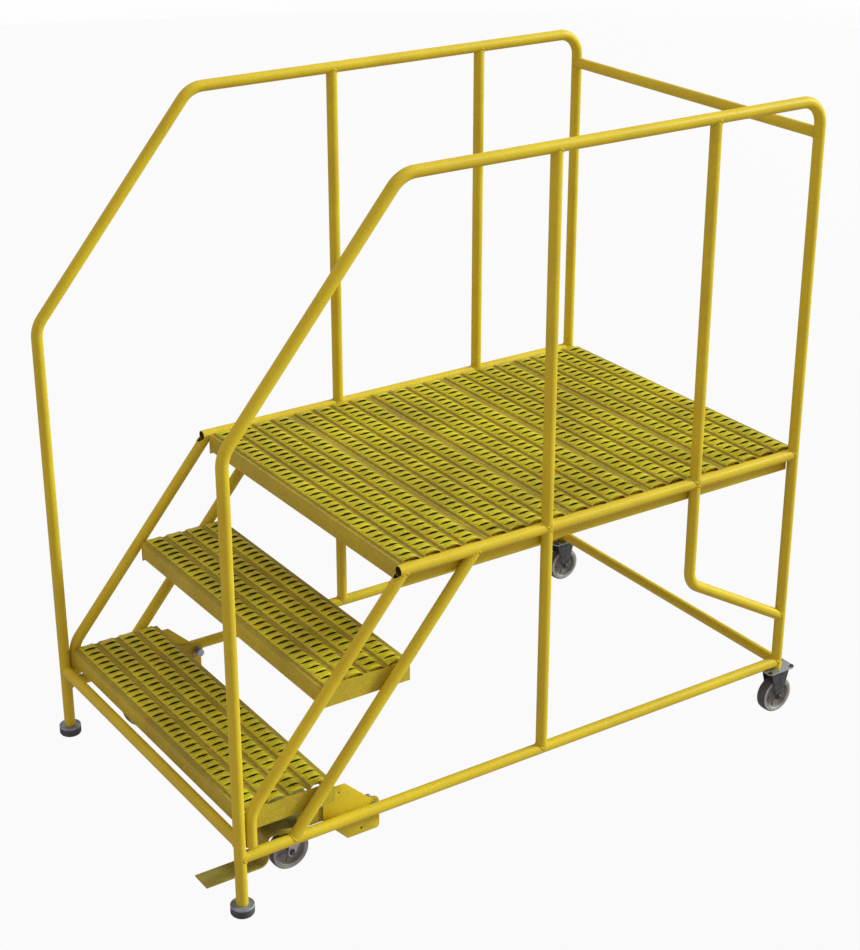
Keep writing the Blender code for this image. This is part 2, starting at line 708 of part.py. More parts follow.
def make_pedal(yellow):
    """A strip bent into a foot pedal, an upright and a flange that lies on the carrier."""
    flange_z = CARRIER_WEB_Z + RIM_GAP + PEDAL_SHEET / 2
    middle = (PEDAL_UPRIGHT_Y, PEDAL_MIDDLE_Z)
    lower = rounded_line([(FRONT_Y - PEDAL_REACH, PEDAL_Z), (PEDAL_UPRIGHT_Y, PEDAL_Z), middle],
                         PEDAL_LOW_BEND, 6)
    upper = rounded_line([middle, (PEDAL_UPRIGHT_Y, flange_z), (PEDAL_FLANGE_END, flange_z)],
                         PEDAL_HIGH_BEND, 5)
    line = [tuple(p) for p in lower[:-1] + upper]
    near = offset_line(line, PEDAL_SHEET / 2)
    far = offset_line(line, -PEDAL_SHEET / 2)
    made = add_object("lock_pedal", prism([near + far[::-1]], across_x, PEDAL_IN, PEDAL_OUT), yellow)
    set_origin(made, (0, PIVOT_Y, PIVOT_Z))


def make_pivot_pin(suffix, sign, paint):
    """A headed pin through the anchor plate and the carrier arm, with the spring's seat inboard."""
    spots = [(PIN_HEAD_OUT, PIN_HEAD_R), (PIN_HEAD_IN, PIN_HEAD_R), (PIN_HEAD_IN, PIVOT_R),
             (PIN_SEAT_OUT, PIVOT_R), (PIN_SEAT_OUT, PIN_SEAT_R), (PIN_SEAT_IN, PIN_SEAT_R)]
    profile = [(sign * along, radius) for along, radius in spots]
    made = add_object("pivot_pin_" + suffix, revolved(profile, (0, PIVOT_Y, PIVOT_Z), 18, False), paint, 40)
    set_origin(made, (0, PIVOT_Y, PIVOT_Z))


def spring_path(sign):
    """Leg under the carrier web, coil round the pin, and leg down to the anchor plate."""
    start, end = COIL_START, COIL_END + 360.0 * COIL_TURNS
    steps = 10 * COIL_TURNS + 7
    points = [Vector((sign * COIL_IN, *SPRING_WEB_TIP))]
    for i in range(steps + 1):
        angle = math.radians(start + (end - start) * i / steps)
        along = COIL_IN + (COIL_OUT - COIL_IN) * i / steps
        points.append(Vector((sign * along, PIVOT_Y + COIL_R * math.cos(angle),
                              PIVOT_Z + COIL_R * math.sin(angle))))
    points.append(Vector((sign * COIL_OUT, *SPRING_ANCHOR_BEND)))
    tip_x, tip_y, tip_z = SPRING_ANCHOR_TIP
    points.append(Vector((sign * tip_x, tip_y, tip_z)))
    return points


def make_spring(suffix, sign, paint):
    """Wire swept along the spring's path with a frame carried from point to point."""
    path = spring_path(sign)
    made = bmesh.new()
    rings = []
    normal = Vector((0, 0, 1))
    for i, centre in enumerate(path):
        tangent = (path[min(i + 1, len(path) - 1)] - path[max(i - 1, 0)]).normalized()
        normal = (normal - tangent * normal.dot(tangent)).normalized()
        across = tangent.cross(normal)
        ring = []
        for k in range(6):
            angle = math.pi * k / 3
            spot = normal * math.cos(angle) + across * math.sin(angle)
            ring.append(made.verts.new(centre + spot * WIRE_R))
        rings.append(ring)
    for first, second in zip(rings, rings[1:]):
        for k in range(6):
            made.faces.new((first[k - 1], first[k], second[k], second[k - 1]))
    made.faces.new(rings[0])
    made.faces.new(rings[-1])
    spring = add_object("return_spring_" + suffix, made, paint, 60)
    set_origin(spring, (0, PIVOT_Y, PIVOT_Z))


def main():
    for old in list(bpy.data.objects):
        bpy.data.objects.remove(old, do_unlink=True)
    colours = make_materials()
    yellow = colours["yellow"]
    make_cross_bars(yellow)
    make_treads(yellow)
    make_carrier(yellow)
    make_pedal(yellow)
    for suffix, sign in (("right", 1), ("left", -1)):
        make_side(suffix, sign * HALF_SPAN, yellow)
        make_feet(suffix, sign * HALF_SPAN, colours)
        make_rear_caster(suffix, sign * HALF_SPAN, colours)
        make_front_caster(suffix, sign * FRONT_CASTER_X, colours)
        make_anchor_plate(suffix, sign, yellow)
        make_pivot_pin(suffix, sign, colours["zinc"])
        make_spring(suffix, sign, colours["spring"])


main()
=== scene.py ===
"""Looks for the mobile ladder stand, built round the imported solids.

Metres, +Z up, +X the climber's right, the climber faces +Y.
"""

import json
import math

import bmesh
import bpy
from mathutils import Euler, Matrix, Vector

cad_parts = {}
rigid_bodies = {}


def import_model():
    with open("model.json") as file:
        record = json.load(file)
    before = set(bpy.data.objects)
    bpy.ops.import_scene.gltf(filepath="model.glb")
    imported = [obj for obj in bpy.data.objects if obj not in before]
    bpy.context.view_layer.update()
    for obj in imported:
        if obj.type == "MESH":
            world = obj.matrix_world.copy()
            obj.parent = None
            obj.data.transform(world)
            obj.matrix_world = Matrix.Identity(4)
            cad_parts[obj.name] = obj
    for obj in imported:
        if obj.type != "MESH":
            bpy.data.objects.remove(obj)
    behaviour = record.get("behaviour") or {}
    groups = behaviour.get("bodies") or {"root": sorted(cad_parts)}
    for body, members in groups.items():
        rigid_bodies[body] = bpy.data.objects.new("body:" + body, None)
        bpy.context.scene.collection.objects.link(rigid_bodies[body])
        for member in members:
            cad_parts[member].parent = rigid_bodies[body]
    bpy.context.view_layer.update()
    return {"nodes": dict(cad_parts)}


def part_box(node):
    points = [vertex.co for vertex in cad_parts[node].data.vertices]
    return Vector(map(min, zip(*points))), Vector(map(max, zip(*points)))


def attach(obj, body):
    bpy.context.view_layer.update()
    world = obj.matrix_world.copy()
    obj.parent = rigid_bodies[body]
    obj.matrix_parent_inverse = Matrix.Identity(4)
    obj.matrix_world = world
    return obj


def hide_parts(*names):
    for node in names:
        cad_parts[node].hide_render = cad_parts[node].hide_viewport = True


for old in list(bpy.data.objects):
    bpy.data.objects.remove(old, do_unlink=True)
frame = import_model()

pad_low, pad_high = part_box("foot_pad_right")
wheel_low, wheel_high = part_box("rear_wheel_right")
bar_low, bar_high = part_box("rear_bottom_bar")
tube_low, tube_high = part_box("platform_side_tube_right")

# Tube, its clearance at a weld, and the centre lines that the solids' boxes give
TUBE_R = (tube_high.z - tube_low.z) / 2
TUBE_WALL = 0.0020
TUBE_SIDES = 32
TUBE_GAP = 0.0002
MITRE_LIMIT = 0.5
HALF_SPAN = (pad_low.x + pad_high.x) / 2
FRONT_Y = (pad_low.y + pad_high.y) / 2
REAR_Y = (wheel_low.y + wheel_high.y) / 2
SIDE_TUBE_Z = (tube_low.z + tube_high.z) / 2
RAIL_Z = (bar_low.z + bar_high.z) / 2

# Heights of the other tubes' centre lines and ends
CROSS_BAR_Z = 0.192
KNEE_Z = 1.1474
TOP_RAIL_Z = 1.682
REAR_TOP_BAR_Z = 1.6008
BRACE_KNEE_Z = 0.480
BRACE_END_Z = 0.290
STRINGER_FOOT_Z = 0.176
FOOT_TOP = 0.0271
REAR_PLATE_TOP = 0.1333

# Places along the stand
SIDE_TUBE_FRONT_Y = FRONT_Y + 0.434
POST_1_Y = FRONT_Y + 0.854
POST_2_Y = FRONT_Y + 1.3146
STRINGER_FRONT_TOP = FRONT_Y + 0.450
STRINGER_REAR_TOP = FRONT_Y + 0.650
STRINGER_FOOT_Y = FRONT_Y + 0.030

# The stair's slope, and the tubes' bends: radius on the centre line and steps in the arc
SLOPE = math.radians(50.0)
SLOPE_BEND, SLOPE_STEPS = 0.075, 12
REAR_BEND, REAR_STEPS = 0.060, 18
BRACE_BEND, BRACE_STEPS = 0.055, 14

# Weld beads: radius, ripples, and steps between two points of a tube's rim
WELD_R = 0.0019
WELD_RIPPLE = 0.00035
WELD_RIPPLES = 22
WELD_PHASE = 1.7
WELD_SIDES = 8
RIM_STEPS = 3

# Treads. TREAD_DROP is from the top of a plank's box to the flat between its arches
PLANKS = tuple(f"platform_plank_{i}" for i in range(1, 6))
TREAD_DROP = 0.012
PLANK_DEPTH = 0.2435
PLANK_HALF = 0.4555
ARCHES = 4
ARCH_PITCH = 0.0575
ARCH_WIDTH = 0.048
ARCH_HIGH = 0.0106
ARCH_ROUND = 0.62
# Louvres: the low edge's share of the arch's height, and how far it sags under the crown
CREASE = 0.68
BELLY = 0.28
# A louvre's mouth: half its length, its closed tips, and how far it runs back under the sheet
MOUTH_HALF = 0.0172
MOUTH_TIP = 0.0006
MOUTH_DEPTH = 0.008
MOUTH_PER_GAP = 2.5
EDGE_OF_SHEET = 0.9
EDGE_PER_GAP = 0.4
# Lines of points along each arch, by their distance from its middle, and the part of its crown
# painted lighter as a painted highlight
ROW_PLACES = (ARCH_WIDTH / 2, 0.0234, 0.0216, 0.0195, MOUTH_HALF, MOUTH_HALF - MOUTH_TIP,
              0.0140, 0.0106, 0.0070, 0.0035, 0.0)
HIGHLIGHT_FROM, HIGHLIGHT_TO = -0.0216, 0.0172
LOUVRES = 32
LOUVRE_PITCH = 2 * PLANK_HALF / LOUVRES
# The louvre's climb: share of the pitch, and share of the height from its low to its raised edge
STRIP = ((0.0, 0.0), (0.20, 0.16), (0.42, 0.58), (0.64, 0.92), (0.84, 1.05), (1.0, 1.0))
MOUTH_POINTS = 3
# Sheet, folded lips and the steps' end plates
SHEET = 0.0018
FOLD_R = 0.0014
FOLD_DEGREES = (0, 30, 60, 90)
LIP = 0.044
END_LIP = 0.053
END_SHEET = 0.003
END_GAP = 0.0002
END_DROP = 0.001
MERGE = 2e-6

# Ledges under the planks' ends
LEDGE_INNER, LEDGE_OUTER = 0.4255, 0.4545
LEDGE_HIGH = 0.030
LEDGE_SHEET = 0.003
LEDGE_GAP = 0.0006
LEDGE_INSET = 0.005

# Feet. Pad: height and how far inside the pad's full radius
FOOT_SIDES = 56
PAD_FOOT = ((0.0, 0.0045), (0.0012, 0.0026), (0.0040, 0.0006), (0.0052, 0.0))
PAD_GROOVES = (0.0085, 0.0140)
PAD_GROOVE = 0.0009
PAD_EDGE = 0.0008
# Cap: distance below its top with the distance inside the pad's radius, or outside the tube
CAP_SKIRT = 0.001
CAP_RIM = ((0.0012, 0.0), (0.0003, 0.0005), (0.0, 0.0016), (0.0009, 0.0034))
CAP_COLLAR = ((0.0009, 0.004), (0.0003, 0.0012))

# Hexagon heads: shares of the height and of the corner radius, and the washer under them
HEX_SIDES = 6
HEX_SHOULDER, HEX_CHAMFER, HEX_FACE = 0.8, 0.86, 0.45
WASHER, WASHER_EDGE, WASHER_CHAMFER = 0.0012, 0.0010, 0.0003
WASHER_SIDES = 28

# Wheels: distance from the wheel's middle and radius, but from the hub's end face in HUB_FACE
WHEEL_SIDES = 72
TYRE_FACE = ((0.0128, 0.0395), (0.0146, 0.0412), (0.0149, 0.0440), (0.0143, 0.0472),
             (0.0118, 0.0494))
TREAD_HALF, TREAD_CROWN = 0.0070, 0.0004
PALE_FROM, PALE_TO = 0.0400, 0.0480
HUB_FACE = ((0.0, 0.0066), (0.0, 0.0098), (0.0008, 0.0108))
WEB = ((0.0105, 0.0118), (0.0078, 0.0150), (0.0056, 0.0215), (0.0052, 0.0300),
       (0.0066, 0.0345), (0.0112, 0.0366), (0.0142, 0.0374), (0.0150, 0.0384),
       (0.0144, 0.0397), (0.0126, 0.0402))
BRIGHT_FROM = 0.0360
RIBS, RIB_TURN = 6, 15
RIB_FOOT, RIB_CROWN = 0.0045, 0.6
# Ribs: radius, height above the wheel's middle and half width
RIB_STATIONS = ((0.0125, 0.0098, 0.0014), (0.0200, 0.0074, 0.0012), (0.0345, 0.0084, 0.0011))

# Axles and plate bolts. Heads: across flats, height and washer radius
FORK_FACE = 0.0218
SHANK_R, SHANK_SIDES = 0.0058, 24
AXLE_HEAD = (0.0128, 0.0036, 0.0078)
THREAD_END = ((0.0, 0.0034), (0.0052, 0.0034), (0.0056, 0.0029))
THREAD_SIDES = 16
PLATE_HEAD = (0.0085, 0.0030, 0.0062)
PLATE_BOLTS_LONG, PLATE_BOLTS_SHORT = 0.0375, 0.0215

# Kingpin and race: height and radius. Heights are above the pin's foot (RIVET_FOOT), the fork's
# top (RIVET_TOP, LOWER_CUP) or the plate's underside (UPPER_CUP)
KINGPIN_SIDES = 48
KINGPIN_R = 0.0059
RIVET_FOOT = ((0.0, 0.004), (0.0, 0.0085), (0.0012, 0.0100))
RIVET_TOP = ((-0.0036, 0.0100), (-0.0036, KINGPIN_R))
LOWER_CUP = ((0.0003, KINGPIN_R), (0.0003, 0.0215), (0.0014, 0.0222), (0.0026, 0.0216),
             (0.0034, 0.0206), (0.0042, 0.0222))
UPPER_CUP = ((-0.0012, 0.0238), (-0.0003, 0.0240), (-0.0003, KINGPIN_R))

# Anchor plates' welds and studs. Places are (distance behind the front posts, height)
ANCHOR_WELD_X = 0.4562
ANCHOR_WELD_LINE = ((0.2630, 0.2375), (0.2630, 0.2006), (0.2325, 0.2006))
ANCHOR_WELD_BEND, ANCHOR_WELD_STEPS = 0.003, 5
ANCHOR_WELD_R = 0.0022
STUD_INNER, STUD_OUTER, STUD_DOME = 0.4540, 0.4578, 0.0004
STUDS = ((0.336, 0.0967, 0.0027), (0.2755, 0.218, 0.0017))
STUD_TIP = 0.7
STUD_SIDES = 20

# Return springs: coil between SPRING_INNER and SPRING_OUTER, legs as for the anchor plates
SPRING_INNER, SPRING_OUTER = 0.4305, 0.4465
SPRING_TURNS, SPRING_STEPS = 4, 28
SPRING_START, SPRING_END = -90.0, 146.0 + 360.0 * SPRING_TURNS
COIL_R, SPRING_WIRE_R = 0.0085, 0.0012
WIRE_SIDES = 10
STEEP = 0.9
CARRIER_LEG = (0.240, 0.1497)
ANCHOR_LEG = (0.336, 0.0967)
ANCHOR_HOOK_X, ANCHOR_HOOK = 0.4535, (0.335, 0.0960)

# Studio: the sweep's floor, foot, wall and dome, the lights and the camera
SWEEP_FLOOR_R, SWEEP_FOOT_R = 10.0, 4.0
SWEEP_STEPS, SWEEP_SIDES = 8, 96
WALL_TOP, DOME_TOP, DOME_EYE = 14.0, 20.0, 1.0
STAND_MIDDLE = Vector((0, 0, 0.8))
LIGHT_DISTANCE = 5.0
CAMERA_PLACE = (3.8254, FRONT_Y - 1.7173, 2.7707)
CAMERA_LENS, CAMERA_SENSOR = 74.50, 36.0
CAMERA_DOWN, CAMERA_TURN = 23.985, 56.253

# Plates, forks and pins that stay from the solids
EDGE_SEGMENTS, EDGE_DEGREES = 2, 40
NODE_MERGE = 0.00002
NODE_CREASE = 35

SUFFIXES = (("right", 1), ("left", -1))


# ---------------------------------------------------------------- materials

# The mix node's factor, its two colours and its colour output
MIX_FACTOR, MIX_A, MIX_B, MIX_COLOUR = 0, 6, 7, 2


def new_material(name):
    made = bpy.data.materials.new(name)
    made.use_nodes = True
    tree = made.node_tree
    return made, tree, tree.nodes["Principled BSDF"]


def noise(tree, scale, detail=3.0, roughness=0.55, stretch=None):
    """A noise texture in object space, stretched along one axis where asked."""
    coords = tree.nodes.new("ShaderNodeTexCoord")
    made = tree.nodes.new("ShaderNodeTexNoise")
    made.inputs["Scale"].default_value = scale
    made.inputs["Detail"].default_value = detail
    made.inputs["Roughness"].default_value = roughness
    source = coords.outputs["Object"]
    if stretch:
        mapping = tree.nodes.new("ShaderNodeMapping")
        mapping.inputs["Scale"].default_value = stretch
        tree.links.new(source, mapping.inputs["Vector"])
        source = mapping.outputs["Vector"]
    tree.links.new(source, made.inputs["Vector"])
    return made.outputs["Fac"]


def ramp(tree, source, low, high):
    """A colour ramp from source between two stops, each a place and a colour."""
    made = tree.nodes.new("ShaderNodeValToRGB")
    for element, (place, colour) in zip(made.color_ramp.elements, (low, high)):
        element.position = place
        element.color = (*colour, 1.0)
    tree.links.new(source, made.inputs["Fac"])
    return made.outputs["Color"]


def grey(value):
    return (value, value, value)


def dimmed(colour, share):
    return tuple(part * share for part in colour)


def mixed(tree, factor, first, second, kind="MIX"):
    """Two colours mixed or multiplied. The factor and both colours are sockets or values."""
    made = tree.nodes.new("ShaderNodeMix")
    made.data_type = "RGBA"
    made.blend_type = kind
    for index, value in ((MIX_FACTOR, factor), (MIX_A, first), (MIX_B, second)):
        if isinstance(value, bpy.types.NodeSocket):
            tree.links.new(value, made.inputs[index])
        elif index == MIX_FACTOR:
            made.inputs[index].default_value = value
        else:
            made.inputs[index].default_value = (*value, 1.0)
    return made.outputs[MIX_COLOUR]


def bump(tree, height, strength, distance, under=None):
    """The normal of a bump, on top of another bump's normal where one is given."""
    made = tree.nodes.new("ShaderNodeBump")
    made.inputs["Strength"].default_value = strength
    made.inputs["Distance"].default_value = distance
    tree.links.new(height, made.inputs["Height"])
    if under is not None:
        tree.links.new(under, made.inputs["Normal"])
    return made.outputs["Normal"]


def powder_coat(name, base, darker, rough, mottle):
    """Sprayed paint: soft drifts of tone, mottling, a fine orange peel and uneven roughness."""
    made, tree, shader = new_material(name)
    drift = noise(tree, scale=5.5, detail=4.0, roughness=0.6)
    tone = ramp(tree, drift, (0.36, darker), (0.62, base))
    speck = noise(tree, scale=210.0, detail=4.0, roughness=0.7)
    fine = ramp(tree, speck, (0.36, grey(1.0 - mottle)), (0.58, grey(1.0)))
    colour = mixed(tree, 1.0, tone, fine, "MULTIPLY")
    tree.links.new(colour, shader.inputs["Base Color"])
    sheen = noise(tree, scale=11.0)
    shine = ramp(tree, sheen, (0.30, grey(rough[0])), (0.72, grey(rough[1])))
    tree.links.new(shine, shader.inputs["Roughness"])
    shader.inputs["Specular IOR Level"].default_value = 0.20
    peel = bump(tree, noise(tree, scale=640.0, detail=2.0), strength=0.22, distance=0.00035)
    waves = noise(tree, scale=60.0, detail=2.0)
    relief = bump(tree, waves, strength=0.10, distance=0.0008, under=peel)
    tree.links.new(relief, shader.inputs["Normal"])
    return made


def painted_shade_on_level_faces(name, base, above):
    """Powder coat that is darker and greener on level faces: painted shade, as falls under the
    steps.
    """
    made = powder_coat(name, base, dimmed(base, 0.88), rough=(0.42, 0.56), mottle=0.12)
    tree = made.node_tree
    shader = tree.nodes["Principled BSDF"]
    painted = shader.inputs["Base Color"].links[0].from_socket
    geometry = tree.nodes.new("ShaderNodeNewGeometry")
    parts = tree.nodes.new("ShaderNodeSeparateXYZ")
    tree.links.new(geometry.outputs["Normal"], parts.inputs["Vector"])
    # Faces that look up take the colour given as above, blotched by noise: painted shade.
    level = ramp(tree, parts.outputs["Z"], (0.35, grey(0.0)), (0.75, grey(1.0)))
    dust = noise(tree, scale=26.0, detail=4.0)
    level_shade = ramp(tree, dust, (0.34, dimmed(above, 0.8)), (0.66, above))
    tree.links.new(mixed(tree, level, painted, level_shade), shader.inputs["Base Color"])
    return made


def plated(name, base, darker, rough, metallic):
    """Plated steel: cloudy plating, fine drawn lines and small dull specks."""
    made, tree, shader = new_material(name)
    cloud = noise(tree, scale=70.0, detail=5.0, roughness=0.62)
    tone = ramp(tree, cloud, (0.34, darker), (0.62, base))
    lines = noise(tree, scale=260.0, detail=3.0, roughness=0.6, stretch=(0.12, 1.0, 1.0))
    drawn = ramp(tree, lines, (0.30, grey(0.82)), (0.66, grey(1.0)))
    tree.links.new(mixed(tree, 0.6, tone, drawn, "MULTIPLY"), shader.inputs["Base Color"])
    shine = ramp(tree, cloud, (0.30, grey(rough[1])), (0.70, grey(rough[0])))
    tree.links.new(shine, shader.inputs["Roughness"])
    shader.inputs["Metallic"].default_value = metallic
    relief = bump(tree, lines, strength=0.18, distance=0.0002)
    tree.links.new(relief, shader.inputs["Normal"])
    return made


def moulded(name, base, darker, rough, grain):
    """Moulded rubber or plastic: a fine grain, scuffs and a little dust."""
    made, tree, shader = new_material(name)
    dust = noise(tree, scale=38.0, detail=5.0, roughness=0.65)
    tone = ramp(tree, dust, (0.35, darker), (0.66, base))
    scuff = ramp(tree, noise(tree, scale=300.0), (0.32, grey(0.84)), (0.62, grey(1.0)))
    tree.links.new(mixed(tree, 0.7, tone, scuff, "MULTIPLY"), shader.inputs["Base Color"])
    shine = ramp(tree, dust, (0.30, grey(rough[0])), (0.70, grey(rough[1])))
    tree.links.new(shine, shader.inputs["Roughness"])
    shader.inputs["Specular IOR Level"].default_value = 0.35
    relief = bump(tree, noise(tree, scale=grain), strength=0.30, distance=0.0003)
    tree.links.new(relief, shader.inputs["Normal"])
    return made


PAINT = powder_coat(
    "safety_yellow_powder_coat", base=(0.66, 0.485, 0.022), darker=(0.59, 0.42, 0.022),
    rough=(0.40, 0.52), mottle=0.09)
TREAD = powder_coat(
    "tread_yellow_powder_coat", base=(0.58, 0.435, 0.030), darker=(0.47, 0.345, 0.028),
    rough=(0.44, 0.58), mottle=0.24)
# Lighter yellow on the arches' crowns: a painted highlight.
PAINTED_HIGHLIGHT_TREAD = powder_coat(
    "tread_crown_painted_highlight", base=(0.70, 0.605, 0.020), darker=(0.54, 0.455, 0.018),
    rough=(0.38, 0.52), mottle=0.32)
# Darker ochre on the rest of the treads' tops, the flanks, the flats between arches and the folds:
# painted shade.
PAINTED_SHADE_TREAD = powder_coat(
    "tread_top_painted_shade", base=(0.44, 0.335, 0.035), darker=(0.34, 0.255, 0.030),
    rough=(0.50, 0.64), mottle=0.28)
SLOT = moulded(
    "louvre_mouth_shadow", base=(0.010, 0.007, 0.002), darker=(0.004, 0.003, 0.001),
    rough=(0.8, 0.95), grain=500.0)
ZINC = plated(
    "zinc_plate", base=(0.50, 0.53, 0.58), darker=(0.36, 0.385, 0.43),
    rough=(0.30, 0.48), metallic=0.75)
# Zinc plate made much darker for the rear forks and the swivel heads: painted shade.
SHADED_ZINC = plated(
    "zinc_plate_painted_shade", base=(0.125, 0.125, 0.13), darker=(0.07, 0.07, 0.075),
    rough=(0.34, 0.52), metallic=0.75)
FORK_GREY = plated(
    "bright_fork_steel", base=(0.60, 0.60, 0.66), darker=(0.45, 0.45, 0.50),
    rough=(0.32, 0.50), metallic=0.6)
CAP = plated(
    "foot_cap_plate", base=(0.30, 0.33, 0.40), darker=(0.22, 0.24, 0.30),
    rough=(0.36, 0.50), metallic=0.45)
# Near-black brown on the tubes' inner walls: painted shade in the bores.
BORE_SHADE = moulded(
    "tube_bore_painted_shade", base=(0.105, 0.075, 0.025), darker=(0.05, 0.036, 0.015),
    rough=(0.7, 0.9), grain=300.0)
# Carrier and pedal: yellow powder coat, with painted shade on their level faces.
CARRIER = painted_shade_on_level_faces(
    "carrier_powder_coat_painted_shade", base=(0.50, 0.375, 0.03), above=(0.29, 0.285, 0.075))
PEDAL = painted_shade_on_level_faces(
    "pedal_powder_coat_painted_shade", base=(0.50, 0.375, 0.03), above=(0.34, 0.285, 0.055))
RIM = moulded(
    "bright_wheel_rim", base=(0.38, 0.375, 0.36), darker=(0.28, 0.275, 0.265),
    rough=(0.36, 0.50), grain=340.0)
TYRE_SIDE = moulded(
    "pale_tyre_side", base=(0.40, 0.395, 0.385), darker=(0.27, 0.265, 0.26),
    rough=(0.42, 0.58), grain=360.0)
BOLT = plated(
    "bolt_steel", base=(0.16, 0.155, 0.15), darker=(0.08, 0.078, 0.075),
    rough=(0.30, 0.46), metallic=0.85)
SPRING = plated(
    "spring_steel", base=(0.30, 0.30, 0.31), darker=(0.20, 0.20, 0.21),
    rough=(0.28, 0.42), metallic=0.9)
CORE = moulded(
    "grey_wheel_core", base=(0.27, 0.25, 0.235), darker=(0.18, 0.165, 0.15),
    rough=(0.38, 0.52), grain=340.0)
TYRE = moulded(
    "grey_tyre", base=(0.105, 0.10, 0.098), darker=(0.06, 0.057, 0.055),
    rough=(0.55, 0.72), grain=420.0)
RUBBER = moulded(
    "dark_rubber_foot", base=(0.085, 0.084, 0.084), darker=(0.05, 0.05, 0.05),
    rough=(0.68, 0.86), grain=520.0)


# ------------------------------------------------------------- mesh helpers

def add_piece(name, built, paints, body, nodes=(), smooth=35):
    """Links the bmesh as a piece that rides on body and stands for the named CAD nodes."""
    bmesh.ops.recalc_face_normals(built, faces=built.faces)
    mesh = bpy.data.meshes.new(name)
    built.to_mesh(mesh)
    built.free()
    for paint in paints:
        mesh.materials.append(paint)
    made = bpy.data.objects.new(name, mesh)
    bpy.context.scene.collection.objects.link(made)
    mesh.shade_smooth()
    mesh.set_sharp_from_angle(angle=math.radians(smooth))
    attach(made, body)
    if nodes:
        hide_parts(*nodes)


def round_edges(made, width):
    """A rounding of the given width on every sharp edge."""
    edge = made.modifiers.new("edge", "BEVEL")
    edge.width = width
    edge.segments = EDGE_SEGMENTS
    edge.limit_method = "ANGLE"
    edge.angle_limit = math.radians(EDGE_DEGREES)


def rounded_line(corners, radius, steps):
    """A line with each inner corner replaced by an arc of the given radius."""
    corners = [Vector(c) for c in corners]
    points = [corners[0]]
    for before, corner, after in zip(corners, corners[1:], corners[2:]):
        back = (before - corner).normalized()
        ahead = (after - corner).normalized()
        half = back.angle(ahead) / 2
        centre = corner + (back + ahead).normalized() * (radius / math.sin(half))
        start = corner + back * (radius / math.tan(half)) - centre
        end = corner + ahead * (radius / math.tan(half)) - centre
        turn = start.angle(end)
        for i in range(steps + 1):
            t = i / steps
            spread = math.sin((1 - t) * turn) * start + math.sin(t * turn) * end
            points.append(centre + spread / math.sin(turn))
    points.append(corners[-1])
    return points


def bridge(built, first, second, slot=0):
    """A band of faces between two rings with as many vertices."""
    for i in range(len(first)):
        face = built.faces.new((first[i - 1], first[i], second[i], second[i - 1]))
        face.material_index = slot


def prism(built, outline_at, first, second):
    """A closed solid between two copies of an outline."""
    ends = [[built.verts.new(point) for point in outline_at(place)] for place in (first, second)]
    bridge(built, *ends)
    built.faces.new(ends[0])
    built.faces.new(ends[1])


def revolve(built, profile, centre, sides, axis="x", closed=False, slots=None):
    """Turns (along, radius) points about an axis through centre.

    An open profile is capped at both ends. slots gives each band's material.
    """
    rings = []
    for along, radius in profile:
        ring = []
        for i in range(sides):
            angle = 2 * math.pi * i / sides
            a, b = radius * math.cos(angle), radius * math.sin(angle)
            offset = (along, a, b) if axis == "x" else (a, b, along)
            ring.append(built.verts.new(Vector(centre) + Vector(offset)))
        rings.append(ring)
    pairs = list(zip(rings, rings[1:])) + ([(rings[-1], rings[0])] if closed else [])
    for k, (first, second) in enumerate(pairs):
        bridge(built, first, second, slots[k] if slots else 0)
    if not closed:
        built.faces.new(rings[0])
        built.faces.new(rings[-1])


def loop_round(built, centre, first, second, radius, sides):
    """A ring of vertices round centre in the plane of two unit directions."""
    angles = (2 * math.pi * k / sides for k in range(sides))
    return [built.verts.new(centre + (first * math.cos(a) + second * math.sin(a)) * radius)
            for a in angles]


def wire(built, path, radius):
    """Round wire along path, closed at both ends."""
    rings = []
    upright = abs((path[1] - path[0]).normalized().z) >= STEEP
    normal = Vector((1, 0, 0)) if upright else Vector((0, 0, 1))
    for i, centre in enumerate(path):
        tangent = (path[min(i + 1, len(path) - 1)] - path[max(i - 1, 0)]).normalized()
        normal = (normal - tangent * normal.dot(tangent)).normalized()
        across = tangent.cross(normal)
        rings.append(loop_round(built, centre, normal, across, radius, WIRE_SIDES))
    for first, second in zip(rings, rings[1:]):
        bridge(built, first, second)
    built.faces.new(rings[0])
    built.faces.new(rings[-1])


# -------------------------------------------------------------------- tubes

def reach_cylinder(start, direction, axis_point, axis, radius):
    """How far from start, along direction, the surface of a cylinder about an axis is."""
    offset = start - axis_point
    offset = offset - axis * offset.dot(axis)
    flat = direction - axis * direction.dot(axis)
    a = flat.dot(flat)
    b = offset.dot(flat)
    c = offset.dot(offset) - radius * radius
    return (-b - math.sqrt(max(b * b - a * c, 0.0))) / a


def trimmed(start, direction, cuts):
    """The point moved along direction to the nearest cut: another tube, or a plane."""
    reaches = [0.0] if not cuts else []
    for kind, point, along in cuts:
        point, along = Vector(point), Vector(along)
        if kind == "tube":
            reaches.append(reach_cylinder(start, direction, point, along, TUBE_R + TUBE_GAP))
        else:
            reaches.append((point - start).dot(along) / direction.dot(along))
    return start + direction * min(reaches)


def tube_wall(built, path, side, radius, start_cuts, end_cuts):
    """Rings of vertices along path at one radius, mitred at bends and trimmed at both ends."""
    rings = []
    last = len(path) - 1
    for i, centre in enumerate(path):
        before, after = path[max(i - 1, 0)], path[min(i + 1, last)]
        into = (centre - before).normalized() if i > 0 else (after - centre).normalized()
        out = (after - centre).normalized() if i < last else into
        tangent = (into + out).normalized()
        normal = tangent.cross(side)
        stretch = 1.0 / max(tangent.dot(into), MITRE_LIMIT)
        ring = []
        for k in range(TUBE_SIDES):
            angle = 2 * math.pi * k / TUBE_SIDES
            spot = side * math.cos(angle) + normal * (math.sin(angle) * stretch)
            point = centre + spot * radius
            if i == 0:
                point = trimmed(point, -tangent, start_cuts)
            if i == last:
                point = trimmed(point, tangent, end_cuts)
            ring.append(built.verts.new(point))
        rings.append(ring)
    return rings


